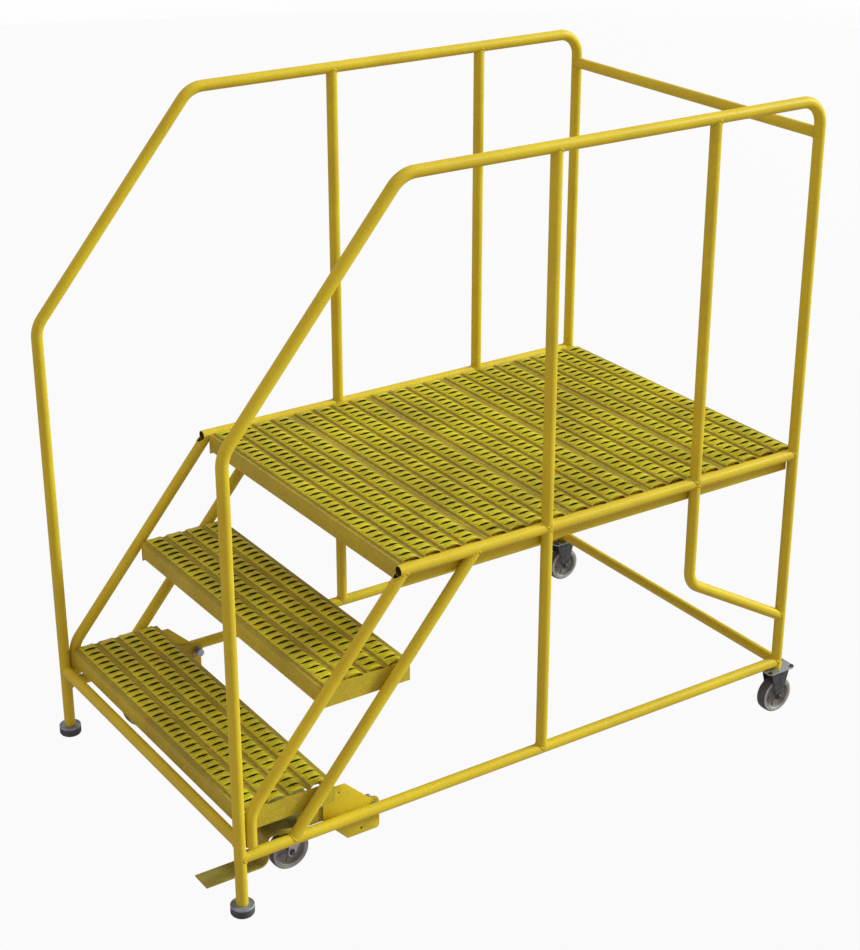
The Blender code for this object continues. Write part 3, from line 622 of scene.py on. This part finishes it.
def tube(name, path, side, start_cuts=(), end_cuts=(), welds=None):
    """A hollow tube along path, trimmed to other tubes. Each trimmed end's rim goes to welds."""
    path = [Vector(p) for p in path]
    built = bmesh.new()
    walls = [tube_wall(built, path, Vector(side), radius, start_cuts, end_cuts)
             for radius in (TUBE_R, TUBE_R - TUBE_WALL)]
    for cuts, ring in ((start_cuts, walls[0][0]), (end_cuts, walls[0][-1])):
        if cuts:
            welds.append([v.co.copy() for v in ring])
    for slot, rings in enumerate(walls):
        for first, second in zip(rings, rings[1:]):
            bridge(built, first, second, slot)
    for end in (0, -1):
        bridge(built, walls[0][end], walls[1][end])
    add_piece(name + "_tube", built, [PAINT, BORE_SHADE], "frame",
              nodes=[name], smooth=40)


def on_tube(x, y, z, along):
    """A cut to the surface of a straight tube through a point."""
    directions = {"y": (0, 1, 0), "z": (0, 0, 1)}
    return ("tube", (x, y, z), directions[along])


def rounded_rim(rim):
    """A closed Catmull-Rom curve through the rim's points."""
    points = []
    for i in range(len(rim) * RIM_STEPS):
        a, t = divmod(i, RIM_STEPS)
        t /= RIM_STEPS
        p0, p1, p2, p3 = (rim[(a + k - 1) % len(rim)] for k in range(4))
        points.append(0.5 * ((2 * p1) + (p2 - p0) * t + (2 * p0 - 5 * p1 + 4 * p2 - p3) * t * t
                             + (3 * p1 - p0 - 3 * p2 + p3) * t ** 3))
    return points


def weld_bead(built, rim, phase):
    """A rippled fillet of weld along a tube's trimmed rim."""
    line = rounded_rim(rim)
    count = len(line)
    centre = sum(line, Vector()) / count
    rings = []
    for i, point in enumerate(line):
        tangent = (line[(i + 1) % count] - line[i - 1]).normalized()
        out = point - centre
        out = (out - tangent * out.dot(tangent)).normalized()
        wave = math.sin(i * 2 * math.pi * WELD_RIPPLES / count + phase)
        radius = WELD_R + WELD_RIPPLE * wave
        rings.append(loop_round(built, point, out, tangent.cross(out), radius, WELD_SIDES))
    for i in range(count):
        bridge(built, rings[i - 1], rings[i])


def make_side(suffix, sign):
    """All tubes of one side. Returns the rims where they meet other tubes."""
    x = sign * HALF_SPAN
    side = (1, 0, 0)
    welds = []
    rear_post = on_tube(x, REAR_Y, 0, "z")
    front_post = on_tube(x, FRONT_Y, 0, "z")
    side_tube = on_tube(x, 0, SIDE_TUBE_Z, "y")
    top_rail = on_tube(x, 0, TOP_RAIL_Z, "y")
    rail = on_tube(x, 0, RAIL_Z, "y")

    def add(name, line, start_cuts=(), end_cuts=()):
        path = [(x, y, z) for y, z in line]
        tube(name + suffix, path, side, start_cuts, end_cuts, welds)

    def bent(line, radius, steps):
        points = rounded_line([(x, y, z) for y, z in line], radius, steps)
        return [(point.y, point.z) for point in points]

    crest_y = FRONT_Y + (TOP_RAIL_Z - KNEE_Z) / math.tan(SLOPE)
    mid_y = (crest_y + REAR_Y) / 2
    front = bent([(FRONT_Y, FOOT_TOP), (FRONT_Y, KNEE_Z), (crest_y, TOP_RAIL_Z),
                  (mid_y, TOP_RAIL_Z)], SLOPE_BEND, SLOPE_STEPS)
    back = bent([(mid_y, TOP_RAIL_Z), (REAR_Y, TOP_RAIL_Z), (REAR_Y, REAR_PLATE_TOP)],
                REAR_BEND, REAR_STEPS)
    add("handrail_", front + back[1:])
    add("platform_side_tube_", [(SIDE_TUBE_FRONT_Y, SIDE_TUBE_Z), (REAR_Y, SIDE_TUBE_Z)],
        (), [rear_post])
    mitre = ("plane", (x, REAR_Y, RAIL_Z), (-sign, 1, 0))
    add("bottom_rail_", [(FRONT_Y, RAIL_Z), (REAR_Y, RAIL_Z)], [front_post], [rear_post, mitre])
    for name, y in (("guard_post_front_", POST_1_Y), ("guard_post_rear_", POST_2_Y)):
        add(name, [(y, SIDE_TUBE_Z), (y, TOP_RAIL_Z)], [side_tube], [top_rail])
    add("lower_post_", [(POST_1_Y, RAIL_Z), (POST_1_Y, SIDE_TUBE_Z)], [rail], [side_tube])
    brace = bent([(POST_2_Y, SIDE_TUBE_Z), (POST_2_Y, BRACE_KNEE_Z), (REAR_Y, BRACE_END_Z)],
                 BRACE_BEND, BRACE_STEPS)
    add("rear_brace_", brace, [side_tube], [rear_post])
    bend_z = SIDE_TUBE_Z - (STRINGER_FRONT_TOP - STRINGER_FOOT_Y) * math.tan(SLOPE)
    stringer = bent([(STRINGER_FRONT_TOP, SIDE_TUBE_Z), (STRINGER_FOOT_Y, bend_z),
                     (STRINGER_FOOT_Y, STRINGER_FOOT_Z)], SLOPE_BEND, SLOPE_STEPS)
    add("front_stringer_", stringer, [side_tube])
    foot_y = STRINGER_REAR_TOP - (SIDE_TUBE_Z - RAIL_Z) / math.tan(SLOPE)
    add("rear_stringer_", [(STRINGER_REAR_TOP, SIDE_TUBE_Z), (foot_y, RAIL_Z)],
        [side_tube], [rail])
    return welds


def make_cross_bars():
    """The three bars between the sides. Returns the rims at their ends."""
    welds = []
    bars = (("front_cross_bar", FRONT_Y, CROSS_BAR_Z), ("rear_top_bar", REAR_Y, REAR_TOP_BAR_Z),
            ("rear_bottom_bar", REAR_Y, RAIL_Z))
    for name, y, z in bars:
        cuts = []
        for sign in (-1, 1):
            x = sign * HALF_SPAN
            end = [on_tube(x, y, 0, "z")]
            if name == "rear_bottom_bar":
                end.append(("plane", (x, y, z), (sign, -1, 0)))
            cuts.append(end)
        tube(name, [(-HALF_SPAN, y, z), (HALF_SPAN, y, z)], (0, 1, 0), *cuts, welds)
    return welds


def make_welds(name, rims):
    """One bead along each rim."""
    built = bmesh.new()
    for number, rim in enumerate(rims):
        weld_bead(built, rim, WELD_PHASE * number)
    add_piece(name, built, [PAINT], "frame", smooth=60)


# ------------------------------------------------------------------- treads

# Material slots of a tread
LIP_SLOT, MOUTH_SLOT, PAINTED_HIGHLIGHT_SLOT, PAINTED_SHADE_SLOT = range(4)


def arch_height(y):
    """The arch's height above the flat at y from its middle: steep at its feet, flat on top."""
    share = min(abs(y) / (ARCH_WIDTH / 2), 1.0)
    return ARCH_HIGH * (1 - share ** 2) ** ARCH_ROUND


def louvre_column(y):
    """Points across one louvre's pitch at y from the arch's middle.

    Gives (x, height, dark) on the upper side and (x, height) on the lower side. The strip
    climbs from a low edge to a raised edge. Below that edge a mouth runs back under it.
    """
    high = arch_height(y)
    low = high * CREASE
    if abs(y) < MOUTH_HALF:
        tip = arch_height(MOUTH_HALF)
        low = tip * CREASE - BELLY * (high - tip)
    gap = high - low
    points = [(LOUVRE_PITCH * t, low + gap * climb, 0) for t, climb in STRIP]
    dark = int(abs(y) < MOUTH_HALF - MOUTH_TIP / 2)
    back = LOUVRE_PITCH - (min(MOUTH_DEPTH, gap * MOUTH_PER_GAP) if dark else 0.0)
    under = high - min(SHEET * EDGE_OF_SHEET, gap * EDGE_PER_GAP)
    points += [(LOUVRE_PITCH, under, 0), (back, under, dark), (back, low, dark)]
    below = []
    for x, height, _ in points[:len(STRIP)]:
        pocket = dark and x > LOUVRE_PITCH - MOUTH_DEPTH
        below.append((x, (low if pocket else height) - SHEET))
    below[-1] = (LOUVRE_PITCH, low - SHEET)
    return points, below


def tread_rows(front, top):
    """(y, z, place, inner y, inner z) of each line along a plank.

    place is the distance from the middle of the line's arch, and None on the lips.
    """
    inner = front + SHEET
    rows = [(front, z, None, inner, z) for z in (top - LIP, top - LIP / 2)]
    for degrees in FOLD_DEGREES:
        turn = math.radians(degrees)
        y = front + FOLD_R * (1 - math.cos(turn))
        z = top - FOLD_R * (1 - math.sin(turn))
        rows.append((y, z, None, inner, top - SHEET))
    lip = len(rows)
    margin = (PLANK_DEPTH - ARCHES * ARCH_PITCH) / 2
    marks = sorted({round(side * y, 5) for side in (-1, 1) for y in ROW_PLACES})
    for i in range(ARCHES):
        middle = front + margin + ARCH_PITCH * (i + 0.5)
        rows += [(middle + y, top, y, middle + y, top) for y in marks]
    far = 2 * front + PLANK_DEPTH
    rows += [(far - y, z, None, far - inner_y, inner_z)
             for y, z, _, inner_y, inner_z in reversed(rows[:lip])]
    return rows


def tread_grids(built, rows):
    """Lines of vertices above and below the sheet, one pair for each row.

    The third list says of each upper vertex whether it lies in a louvre's mouth.
    """
    above, below, shades = [], [], []
    for y, z, place, inner_y, inner_z in rows:
        upper, lower = louvre_column(ARCH_WIDTH / 2 if place is None else place)
        top_line, low_line, dark = [], [], []
        for m in range(LOUVRES):
            start = -PLANK_HALF + LOUVRE_PITCH * m
            last = m == LOUVRES - 1
            for x, height, shade in (upper[:len(STRIP)] if last else upper):
                top_line.append(built.verts.new((start + x, y, z + height)))
                dark.append(shade)
            for k, (x, height) in enumerate(lower):
                if last and k == len(lower) - 1:
                    height = upper[k][1] - SHEET
                drop = height if place is not None else 0.0
                low_line.append(built.verts.new((start + x, inner_y, inner_z + drop)))
        above.append(top_line)
        below.append(low_line)
        shades.append(dark)
    return above, below, shades


def kept_points(line, step, cut):
    """Which of a line's points are used: all where the sheet is cut, else one for each louvre."""
    last = len(line) - 1
    return [k for k in range(len(line)) if cut or k % step == 0 or k == last]


def tread_paint(first, second, dark, top):
    """The material slot of a face between two rows: dark mouths, a painted highlight on the
    crowns, painted shade on the rest of the top, and the lips' own paint lower down.
    """
    cut = first[2] is not None and second[2] is not None
    if cut and dark:
        return MOUTH_SLOT
    if cut and HIGHLIGHT_FROM <= first[2] < second[2] <= HIGHLIGHT_TO:
        return PAINTED_HIGHLIGHT_SLOT
    return PAINTED_SHADE_SLOT if min(first[1], second[1]) > top - LIP / 2 else LIP_SLOT


def clean_tread(built):
    """Joins the points that lie on each other and removes what is left without a face."""
    bmesh.ops.remove_doubles(built, verts=built.verts, dist=MERGE)
    bmesh.ops.dissolve_degenerate(built, edges=built.edges, dist=MERGE)
    loose = [v for v in built.verts if not v.link_faces]
    bmesh.ops.delete(built, geom=loose, context="VERTS")


def tread_mesh(front, top):
    """One plank: louvred arches between folded lips, with the sheet's own thickness."""
    built = bmesh.new()
    rows = tread_rows(front, top)
    above, below, shades = tread_grids(built, rows)
    wide, narrow = len(STRIP) + MOUTH_POINTS, len(STRIP)
    for r in range(len(rows) - 1):
        cut = rows[r][2] is not None and rows[r + 1][2] is not None
        kept = kept_points(above[r], wide, cut)
        for a, b in zip(kept, kept[1:]):
            face = built.faces.new((above[r][a], above[r][b], above[r + 1][b], above[r + 1][a]))
            dark = ((shades[r][a] or shades[r][b])
                    and (shades[r + 1][a] or shades[r + 1][b]))
            face.material_index = tread_paint(rows[r], rows[r + 1], dark, top)
        kept = kept_points(below[r], narrow, cut)
        for a, b in zip(kept, kept[1:]):
            built.faces.new((below[r][a], below[r + 1][a], below[r + 1][b], below[r][b]))
        for k in (0, -1):
            built.faces.new((above[r][k], above[r + 1][k], below[r + 1][k], below[r][k]))
    for r in (0, -1):
        upper = [above[r][k] for k in kept_points(above[r], wide, False)]
        lower = [below[r][k] for k in kept_points(below[r], narrow, False)]
        for a in range(len(upper) - 1):
            built.faces.new((upper[a], upper[a + 1], lower[a + 1], lower[a]))
    clean_tread(built)
    return built


def add_end_plates(built, front, top):
    """A flat plate across each end of a step."""
    outline = [(front, top - END_LIP), (front + PLANK_DEPTH, top - END_LIP),
               (front + PLANK_DEPTH, top - END_DROP), (front, top - END_DROP)]
    for sign in (-1, 1):
        prism(built, lambda x: [(sign * x, y, z) for y, z in outline],
              PLANK_HALF + END_GAP, PLANK_HALF + END_SHEET)


def make_treads():
    """Both steps and the platform's planks."""
    for node in ("step_1", "step_2", *PLANKS):
        low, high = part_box(node)
        top = high.z - TREAD_DROP
        built = tread_mesh(low.y, top)
        if node.startswith("step"):
            add_end_plates(built, low.y, top)
        add_piece(node + "_louvred", built, [TREAD, SLOT, PAINTED_HIGHLIGHT_TREAD, PAINTED_SHADE_TREAD],
                  "frame", nodes=[node], smooth=50)


def make_ledges():
    """Short angles under the ends of the second step and of each plank, inside the side bars."""
    built = bmesh.new()
    for node in ("step_2", *PLANKS):
        low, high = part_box(node)
        top = high.z - TREAD_DROP - SHEET - LEDGE_GAP
        for sign in (-1, 1):
            inner, outer = sign * LEDGE_INNER, sign * LEDGE_OUTER
            web = outer - sign * LEDGE_SHEET
            section = [(inner, top), (outer, top), (outer, top - LEDGE_HIGH),
                       (web, top - LEDGE_HIGH), (web, top - LEDGE_SHEET),
                       (inner, top - LEDGE_SHEET)]
            prism(built, lambda y: [(x, y, z) for x, z in section],
                  low.y + LEDGE_INSET, high.y - LEDGE_INSET)
    add_piece("plank_ledges", built, [PAINT], "frame", smooth=30)


# --------------------------------------------------------------------- feet

def make_foot(suffix, sign):
    """A grooved rubber pad under a pressed cap."""
    spot = (sign * HALF_SPAN, FRONT_Y, 0.0)
    low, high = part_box("foot_pad_" + suffix)
    r, top = (high.x - low.x) / 2, high.z
    built = bmesh.new()
    profile = [(z, r - inset) for z, inset in PAD_FOOT]
    for z in PAD_GROOVES:
        profile += [(z - PAD_GROOVE, r), (z, r - PAD_GROOVE), (z + PAD_GROOVE, r)]
    profile += [(top - PAD_EDGE, r), (top, r - PAD_EDGE)]
    revolve(built, profile, spot, FOOT_SIDES, "z")
    add_piece(f"foot_pad_{suffix}_rubber", built, [RUBBER], "frame",
              nodes=["foot_pad_" + suffix], smooth=50)
    low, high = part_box("foot_cap_" + suffix)
    built = bmesh.new()
    profile = [(low.z, r - CAP_SKIRT), (low.z, r)]
    profile += [(high.z - drop, r - inset) for drop, inset in CAP_RIM]
    profile += [(high.z - drop, TUBE_R + clear) for drop, clear in CAP_COLLAR]
    revolve(built, profile, spot, FOOT_SIDES, "z")
    add_piece(f"foot_cap_{suffix}_pressed", built, [CAP], "frame",
              nodes=["foot_cap_" + suffix], smooth=50)


# ------------------------------------------------------------------ casters

def hex_head(built, centre, axis, sign, size):
    """A hexagon head or nut with a chamfered outer face on a washer, facing sign * axis."""
    across, height, washer = size
    radius = across / math.sqrt(3)
    disc = [(0.0, washer), (WASHER_EDGE, washer), (WASHER, washer - WASHER_CHAMFER)]
    revolve(built, [(sign * a, b) for a, b in disc], centre, WASHER_SIDES, axis)
    top = WASHER + height
    head = [(WASHER, radius), (WASHER + height * HEX_SHOULDER, radius),
            (top, radius * HEX_CHAMFER), (top, radius * HEX_FACE)]
    revolve(built, [(sign * a, b) for a, b in head], centre, HEX_SIDES, axis)


def mirrored(face):
    """A wheel's section: one side's points, then the same points on the other side."""
    return face + [(-a, b) for a, b in reversed(face)]


def bands(profile, chosen):
    """1 for each band of a closed profile whose two radii are chosen, else 0."""
    return [int(chosen(first[1], second[1]))
            for first, second in zip(profile, profile[1:] + profile[:1])]


def make_wheel(end, suffix, centre, body):
    """Tyre with a crowned tread, bright rim ring, dished web with ribs, and a hub."""
    node = f"{end}_wheel_{suffix}"
    low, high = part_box(node)
    r, half = (high.z - low.z) / 2, (high.x - low.x) / 2
    built = bmesh.new()
    side = list(TYRE_FACE) + [(TREAD_HALF, r - TREAD_CROWN)]
    profile = side + [(0.0, r)] + [(-a, b) for a, b in reversed(side)]
    pale = bands(profile, lambda b, d: PALE_FROM < max(b, d) < PALE_TO)
    revolve(built, profile, centre, WHEEL_SIDES, "x", closed=True, slots=pale)
    add_piece(node + "_tyre", built, [TYRE, TYRE_SIDE], body, smooth=40)
    built = bmesh.new()
    profile = mirrored([(half - inset, b) for inset, b in HUB_FACE] + list(WEB))
    bright = bands(profile, lambda b, d: min(b, d) > BRIGHT_FROM)
    revolve(built, profile, centre, WHEEL_SIDES, "x", closed=True, slots=bright)
    for k in range(RIBS):
        for sign in (-1, 1):
            rib(built, centre, sign, math.radians(360 / RIBS * k + RIB_TURN))
    add_piece(node + "_core", built, [CORE, RIM], body, nodes=[node], smooth=40)


def rib(built, centre, sign, angle):
    """A low radial rib on the wheel's web, from the hub to the rim."""
    radial = Vector((0, math.cos(angle), math.sin(angle)))
    across = Vector((0, -math.sin(angle), math.cos(angle)))
    rings = []
    for radius, height, width in RIB_STATIONS:
        ring = []
        for side, along in ((-1, RIB_FOOT), (-RIB_CROWN, height), (RIB_CROWN, height),
                            (1, RIB_FOOT)):
            outward = Vector((sign * along, 0, 0))
            spot = Vector(centre) + radial * radius + across * (side * width) + outward
            ring.append(built.verts.new(spot))
        rings.append(ring)
    for first, second in zip(rings, rings[1:]):
        bridge(built, first, second)
    built.faces.new(rings[0])
    built.faces.new(rings[-1])


def make_axle(end, suffix, centre, body):
    """Hexagon head and locknut outside the fork's legs, with the shank between them."""
    node = f"{end}_axle_{suffix}"
    built = bmesh.new()
    revolve(built, [(-FORK_FACE, SHANK_R), (FORK_FACE, SHANK_R)], centre, SHANK_SIDES, "x")
    for sign in (-1, 1):
        spot = Vector(centre) + Vector((sign * FORK_FACE, 0, 0))
        hex_head(built, spot, "x", sign, AXLE_HEAD)
    tip = Vector(centre) + Vector((FORK_FACE, 0, 0))
    revolve(built, THREAD_END, tip, THREAD_SIDES, "x")
    add_piece(node + "_bolt", built, [BOLT], body, nodes=[node], smooth=30)


def make_plate_bolts(name, centre, long_axis, base, sign, body):
    """Four bolt heads on a caster plate's corner holes."""
    out_x, out_y = PLATE_BOLTS_SHORT, PLATE_BOLTS_LONG
    if long_axis == "x":
        out_x, out_y = out_y, out_x
    built = bmesh.new()
    for sx in (-1, 1):
        for sy in (-1, 1):
            spot = (centre[0] + sx * out_x, centre[1] + sy * out_y, base)
            hex_head(built, spot, "z", sign, PLATE_HEAD)
    add_piece(name, built, [BOLT], body, smooth=30)


def make_kingpin(suffix):
    """Swivel head: two pressed race cups with a ball gap, and a riveted kingpin."""
    node = "kingpin_" + suffix
    low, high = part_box(node)
    spot = ((low.x + high.x) / 2, (low.y + high.y) / 2, 0.0)
    fork_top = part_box("front_caster_fork_" + suffix)[1].z
    plate_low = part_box("front_caster_plate_" + suffix)[0].z
    groups = ((low.z, RIVET_FOOT), (fork_top, RIVET_TOP), (fork_top, LOWER_CUP),
              (plate_low, UPPER_CUP), (high.z, ((0.0, KINGPIN_R),)))
    profile = [(base + rise, radius) for base, group in groups for rise, radius in group]
    built = bmesh.new()
    revolve(built, profile, spot, KINGPIN_SIDES, "z")
    add_piece(node + "_swivel_head", built, [SHADED_ZINC], "caster_lock",
              nodes=[node], smooth=35)


def lock_point(x, place):
    """A point at x, with place as (distance behind the front posts, height)."""
    back, height = place
    return Vector((x, FRONT_Y + back, height))


def make_anchor_welds(suffix, sign):
    """The bead that joins the anchor plate's notch to the first step's end plate."""
    built = bmesh.new()
    corners = [lock_point(sign * ANCHOR_WELD_X, place) for place in ANCHOR_WELD_LINE]
    line = rounded_line(corners, ANCHOR_WELD_BEND, ANCHOR_WELD_STEPS)
    wire(built, line, ANCHOR_WELD_R)
    add_piece("anchor_weld_" + suffix, built, [TREAD], "frame", smooth=60)


def make_anchor_studs(suffix, sign):
    """Dark stud ends in the anchor plate's two small holes."""
    built = bmesh.new()
    for back, height, radius in STUDS:
        profile = [(STUD_INNER, radius), (STUD_OUTER, radius),
                   (STUD_OUTER + STUD_DOME, radius * STUD_TIP)]
        revolve(built, [(sign * a, b) for a, b in profile], lock_point(0.0, (back, height)),
                STUD_SIDES, "x")
    add_piece("anchor_studs_" + suffix, built, [BOLT], "frame", smooth=30)


def make_spring(suffix, sign):
    """Torsion spring: a leg under the carrier, a coil round the pin, a leg to the anchor plate."""
    pin_low, pin_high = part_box("pivot_pin_" + suffix)
    pivot_y, pivot_z = (pin_low.y + pin_high.y) / 2, (pin_low.z + pin_high.z) / 2
    count = SPRING_STEPS * SPRING_TURNS
    path = [lock_point(sign * SPRING_INNER, CARRIER_LEG)]
    for i in range(count + 1):
        share = i / count
        angle = math.radians(SPRING_START + (SPRING_END - SPRING_START) * share)
        along = SPRING_INNER + (SPRING_OUTER - SPRING_INNER) * share
        path.append(Vector((sign * along, pivot_y + COIL_R * math.cos(angle),
                            pivot_z + COIL_R * math.sin(angle))))
    path.append(lock_point(sign * SPRING_OUTER, ANCHOR_LEG))
    path.append(lock_point(sign * ANCHOR_HOOK_X, ANCHOR_HOOK))
    built = bmesh.new()
    wire(built, path, SPRING_WIRE_R)
    add_piece(f"return_spring_{suffix}_wire", built, [SPRING], "caster_lock",
              nodes=["return_spring_" + suffix], smooth=60)


# -------------------------------------------------------- nodes kept as they are

def dress_cad_nodes():
    """Gives the plates, forks and pins that stay as they are their finish and rounded edges."""
    # The rear forks' dark zinc and the carrier's and pedal's level faces are painted shade.
    finish = {"platform_side_bar_": (PAINT, 0.0008), "anchor_plate_": (PAINT, 0.0006),
              "front_caster_plate_": (ZINC, 0.0005), "rear_caster_plate_": (ZINC, 0.0005),
              "rear_caster_fork_": (SHADED_ZINC, 0.0006),
              "front_caster_fork_": (FORK_GREY, 0.0006), "pivot_pin_": (ZINC, 0.0004)}
    named = {"caster_carrier": (CARRIER, 0.0007), "lock_pedal": (PEDAL, 0.0007)}
    for prefix, look in finish.items():
        for suffix, _ in SUFFIXES:
            named[prefix + suffix] = look
    for name, (paint, width) in named.items():
        node = frame["nodes"][name]
        for slot in node.material_slots:
            slot.material = paint
        node.data.shade_smooth()
        weld = node.modifiers.new("join corners", "WELD")
        weld.merge_threshold = NODE_MERGE
        round_edges(node, width)
        split = node.modifiers.new("creases", "EDGE_SPLIT")
        split.split_angle = math.radians(NODE_CREASE)


# ----------------------------------------------------------- stage and camera

def make_stage():
    """A round studio sweep: level floor, curved foot and domed wall. Light passes through it."""
    built = bmesh.new()
    profile = [(0.0, SWEEP_FLOOR_R)]
    for i in range(1, SWEEP_STEPS + 1):
        turn = math.radians(90 * i / SWEEP_STEPS)
        profile.append((SWEEP_FOOT_R * (1 - math.cos(turn)),
                        SWEEP_FLOOR_R + SWEEP_FOOT_R * math.sin(turn)))
    profile += [(WALL_TOP, SWEEP_FLOOR_R + SWEEP_FOOT_R), (DOME_TOP, DOME_EYE)]
    revolve(built, profile, (0, 0, 0), SWEEP_SIDES, "z")
    mesh = bpy.data.meshes.new("studio_sweep")
    built.to_mesh(mesh)
    built.free()
    mesh.shade_smooth()
    sweep = bpy.data.objects.new("studio_sweep", mesh)
    bpy.context.scene.collection.objects.link(sweep)
    paint, _, shader = new_material("studio_white")
    shader.inputs["Base Color"].default_value = (0.03, 0.03, 0.03, 1.0)
    shader.inputs["Roughness"].default_value = 0.9
    shader.inputs["Specular IOR Level"].default_value = 0.1
    shader.inputs["Emission Color"].default_value = (1.0, 1.0, 1.0, 1.0)
    shader.inputs["Emission Strength"].default_value = 0.955
    mesh.materials.append(paint)
    sweep.visible_diffuse = False
    sweep.visible_glossy = False
    sweep.visible_shadow = False


def add_sun(name, toward, energy, colour, degrees):
    """A sun that shines from the direction toward, with the given width across."""
    data = bpy.data.lights.new(name, "SUN")
    data.energy = energy
    data.color = colour
    data.angle = math.radians(degrees)
    direction = Vector(toward).normalized()
    made = bpy.data.objects.new(name, data)
    made.location = STAND_MIDDLE + direction * LIGHT_DISTANCE
    made.rotation_mode = "QUATERNION"
    made.rotation_quaternion = (-direction).to_track_quat("-Z", "Y")
    bpy.context.scene.collection.objects.link(made)


def make_light():
    """An even pale surround with a high key, a low rim and a wide fill."""
    world = bpy.data.worlds.new("studio")
    world.use_nodes = True
    back = world.node_tree.nodes["Background"]
    back.inputs["Color"].default_value = (1.0, 0.93, 0.97, 1.0)
    back.inputs["Strength"].default_value = 0.53
    bpy.context.scene.world = world
    add_sun("key", (0.33, 0.78, 0.48), energy=3.5, colour=(0.88, 1.0, 0.84), degrees=14)
    add_sun("rim", (0.20, 0.97, 0.12), energy=0.6, colour=(0.85, 1.0, 0.45), degrees=10)
    add_sun("fill", (0.15, -0.30, 0.95), energy=0.50, colour=(1.0, 0.97, 0.93), degrees=60)


def make_camera():
    """The camera, in front of the stand on the climber's right and above its rails."""
    data = bpy.data.cameras.new("camera")
    data.lens = CAMERA_LENS
    data.sensor_width = CAMERA_SENSOR
    data.clip_start, data.clip_end = 0.05, 60.0
    made = bpy.data.objects.new("camera", data)
    made.location = CAMERA_PLACE
    made.rotation_euler = Euler((math.radians(90 - CAMERA_DOWN), 0.0, math.radians(CAMERA_TURN)))
    bpy.context.scene.collection.objects.link(made)
    bpy.context.scene.camera = made


for suffix, sign in SUFFIXES:
    make_welds("weld_beads_" + suffix, make_side(suffix, sign))
    make_foot(suffix, sign)
    make_spring(suffix, sign)
    make_anchor_welds(suffix, sign)
    make_anchor_studs(suffix, sign)
    make_kingpin(suffix)
    swivel = "front_caster_swivel_" + suffix
    for end, bolt_body in (("rear", "frame"), ("front", swivel)):
        low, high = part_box(f"{end}_wheel_{suffix}")
        middle = (low + high) / 2
        make_wheel(end, suffix, middle, f"{end}_wheel_{suffix}")
        make_axle(end, suffix, middle, bolt_body)
    rear_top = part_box("rear_caster_plate_" + suffix)[1].z
    make_plate_bolts("rear_plate_bolts_" + suffix, (sign * HALF_SPAN, REAR_Y), "y",
                     rear_top, 1, "frame")
    low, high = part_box("front_caster_plate_" + suffix)
    middle = (low + high) / 2
    make_plate_bolts("front_plate_bolts_" + suffix, middle, "x", low.z, -1, "caster_lock")
make_welds("weld_beads_cross_bars", make_cross_bars())
make_treads()
make_ledges()
dress_cad_nodes()
make_stage()
make_light()
make_camera()
bpy.context.scene.view_settings.view_transform = "Standard"
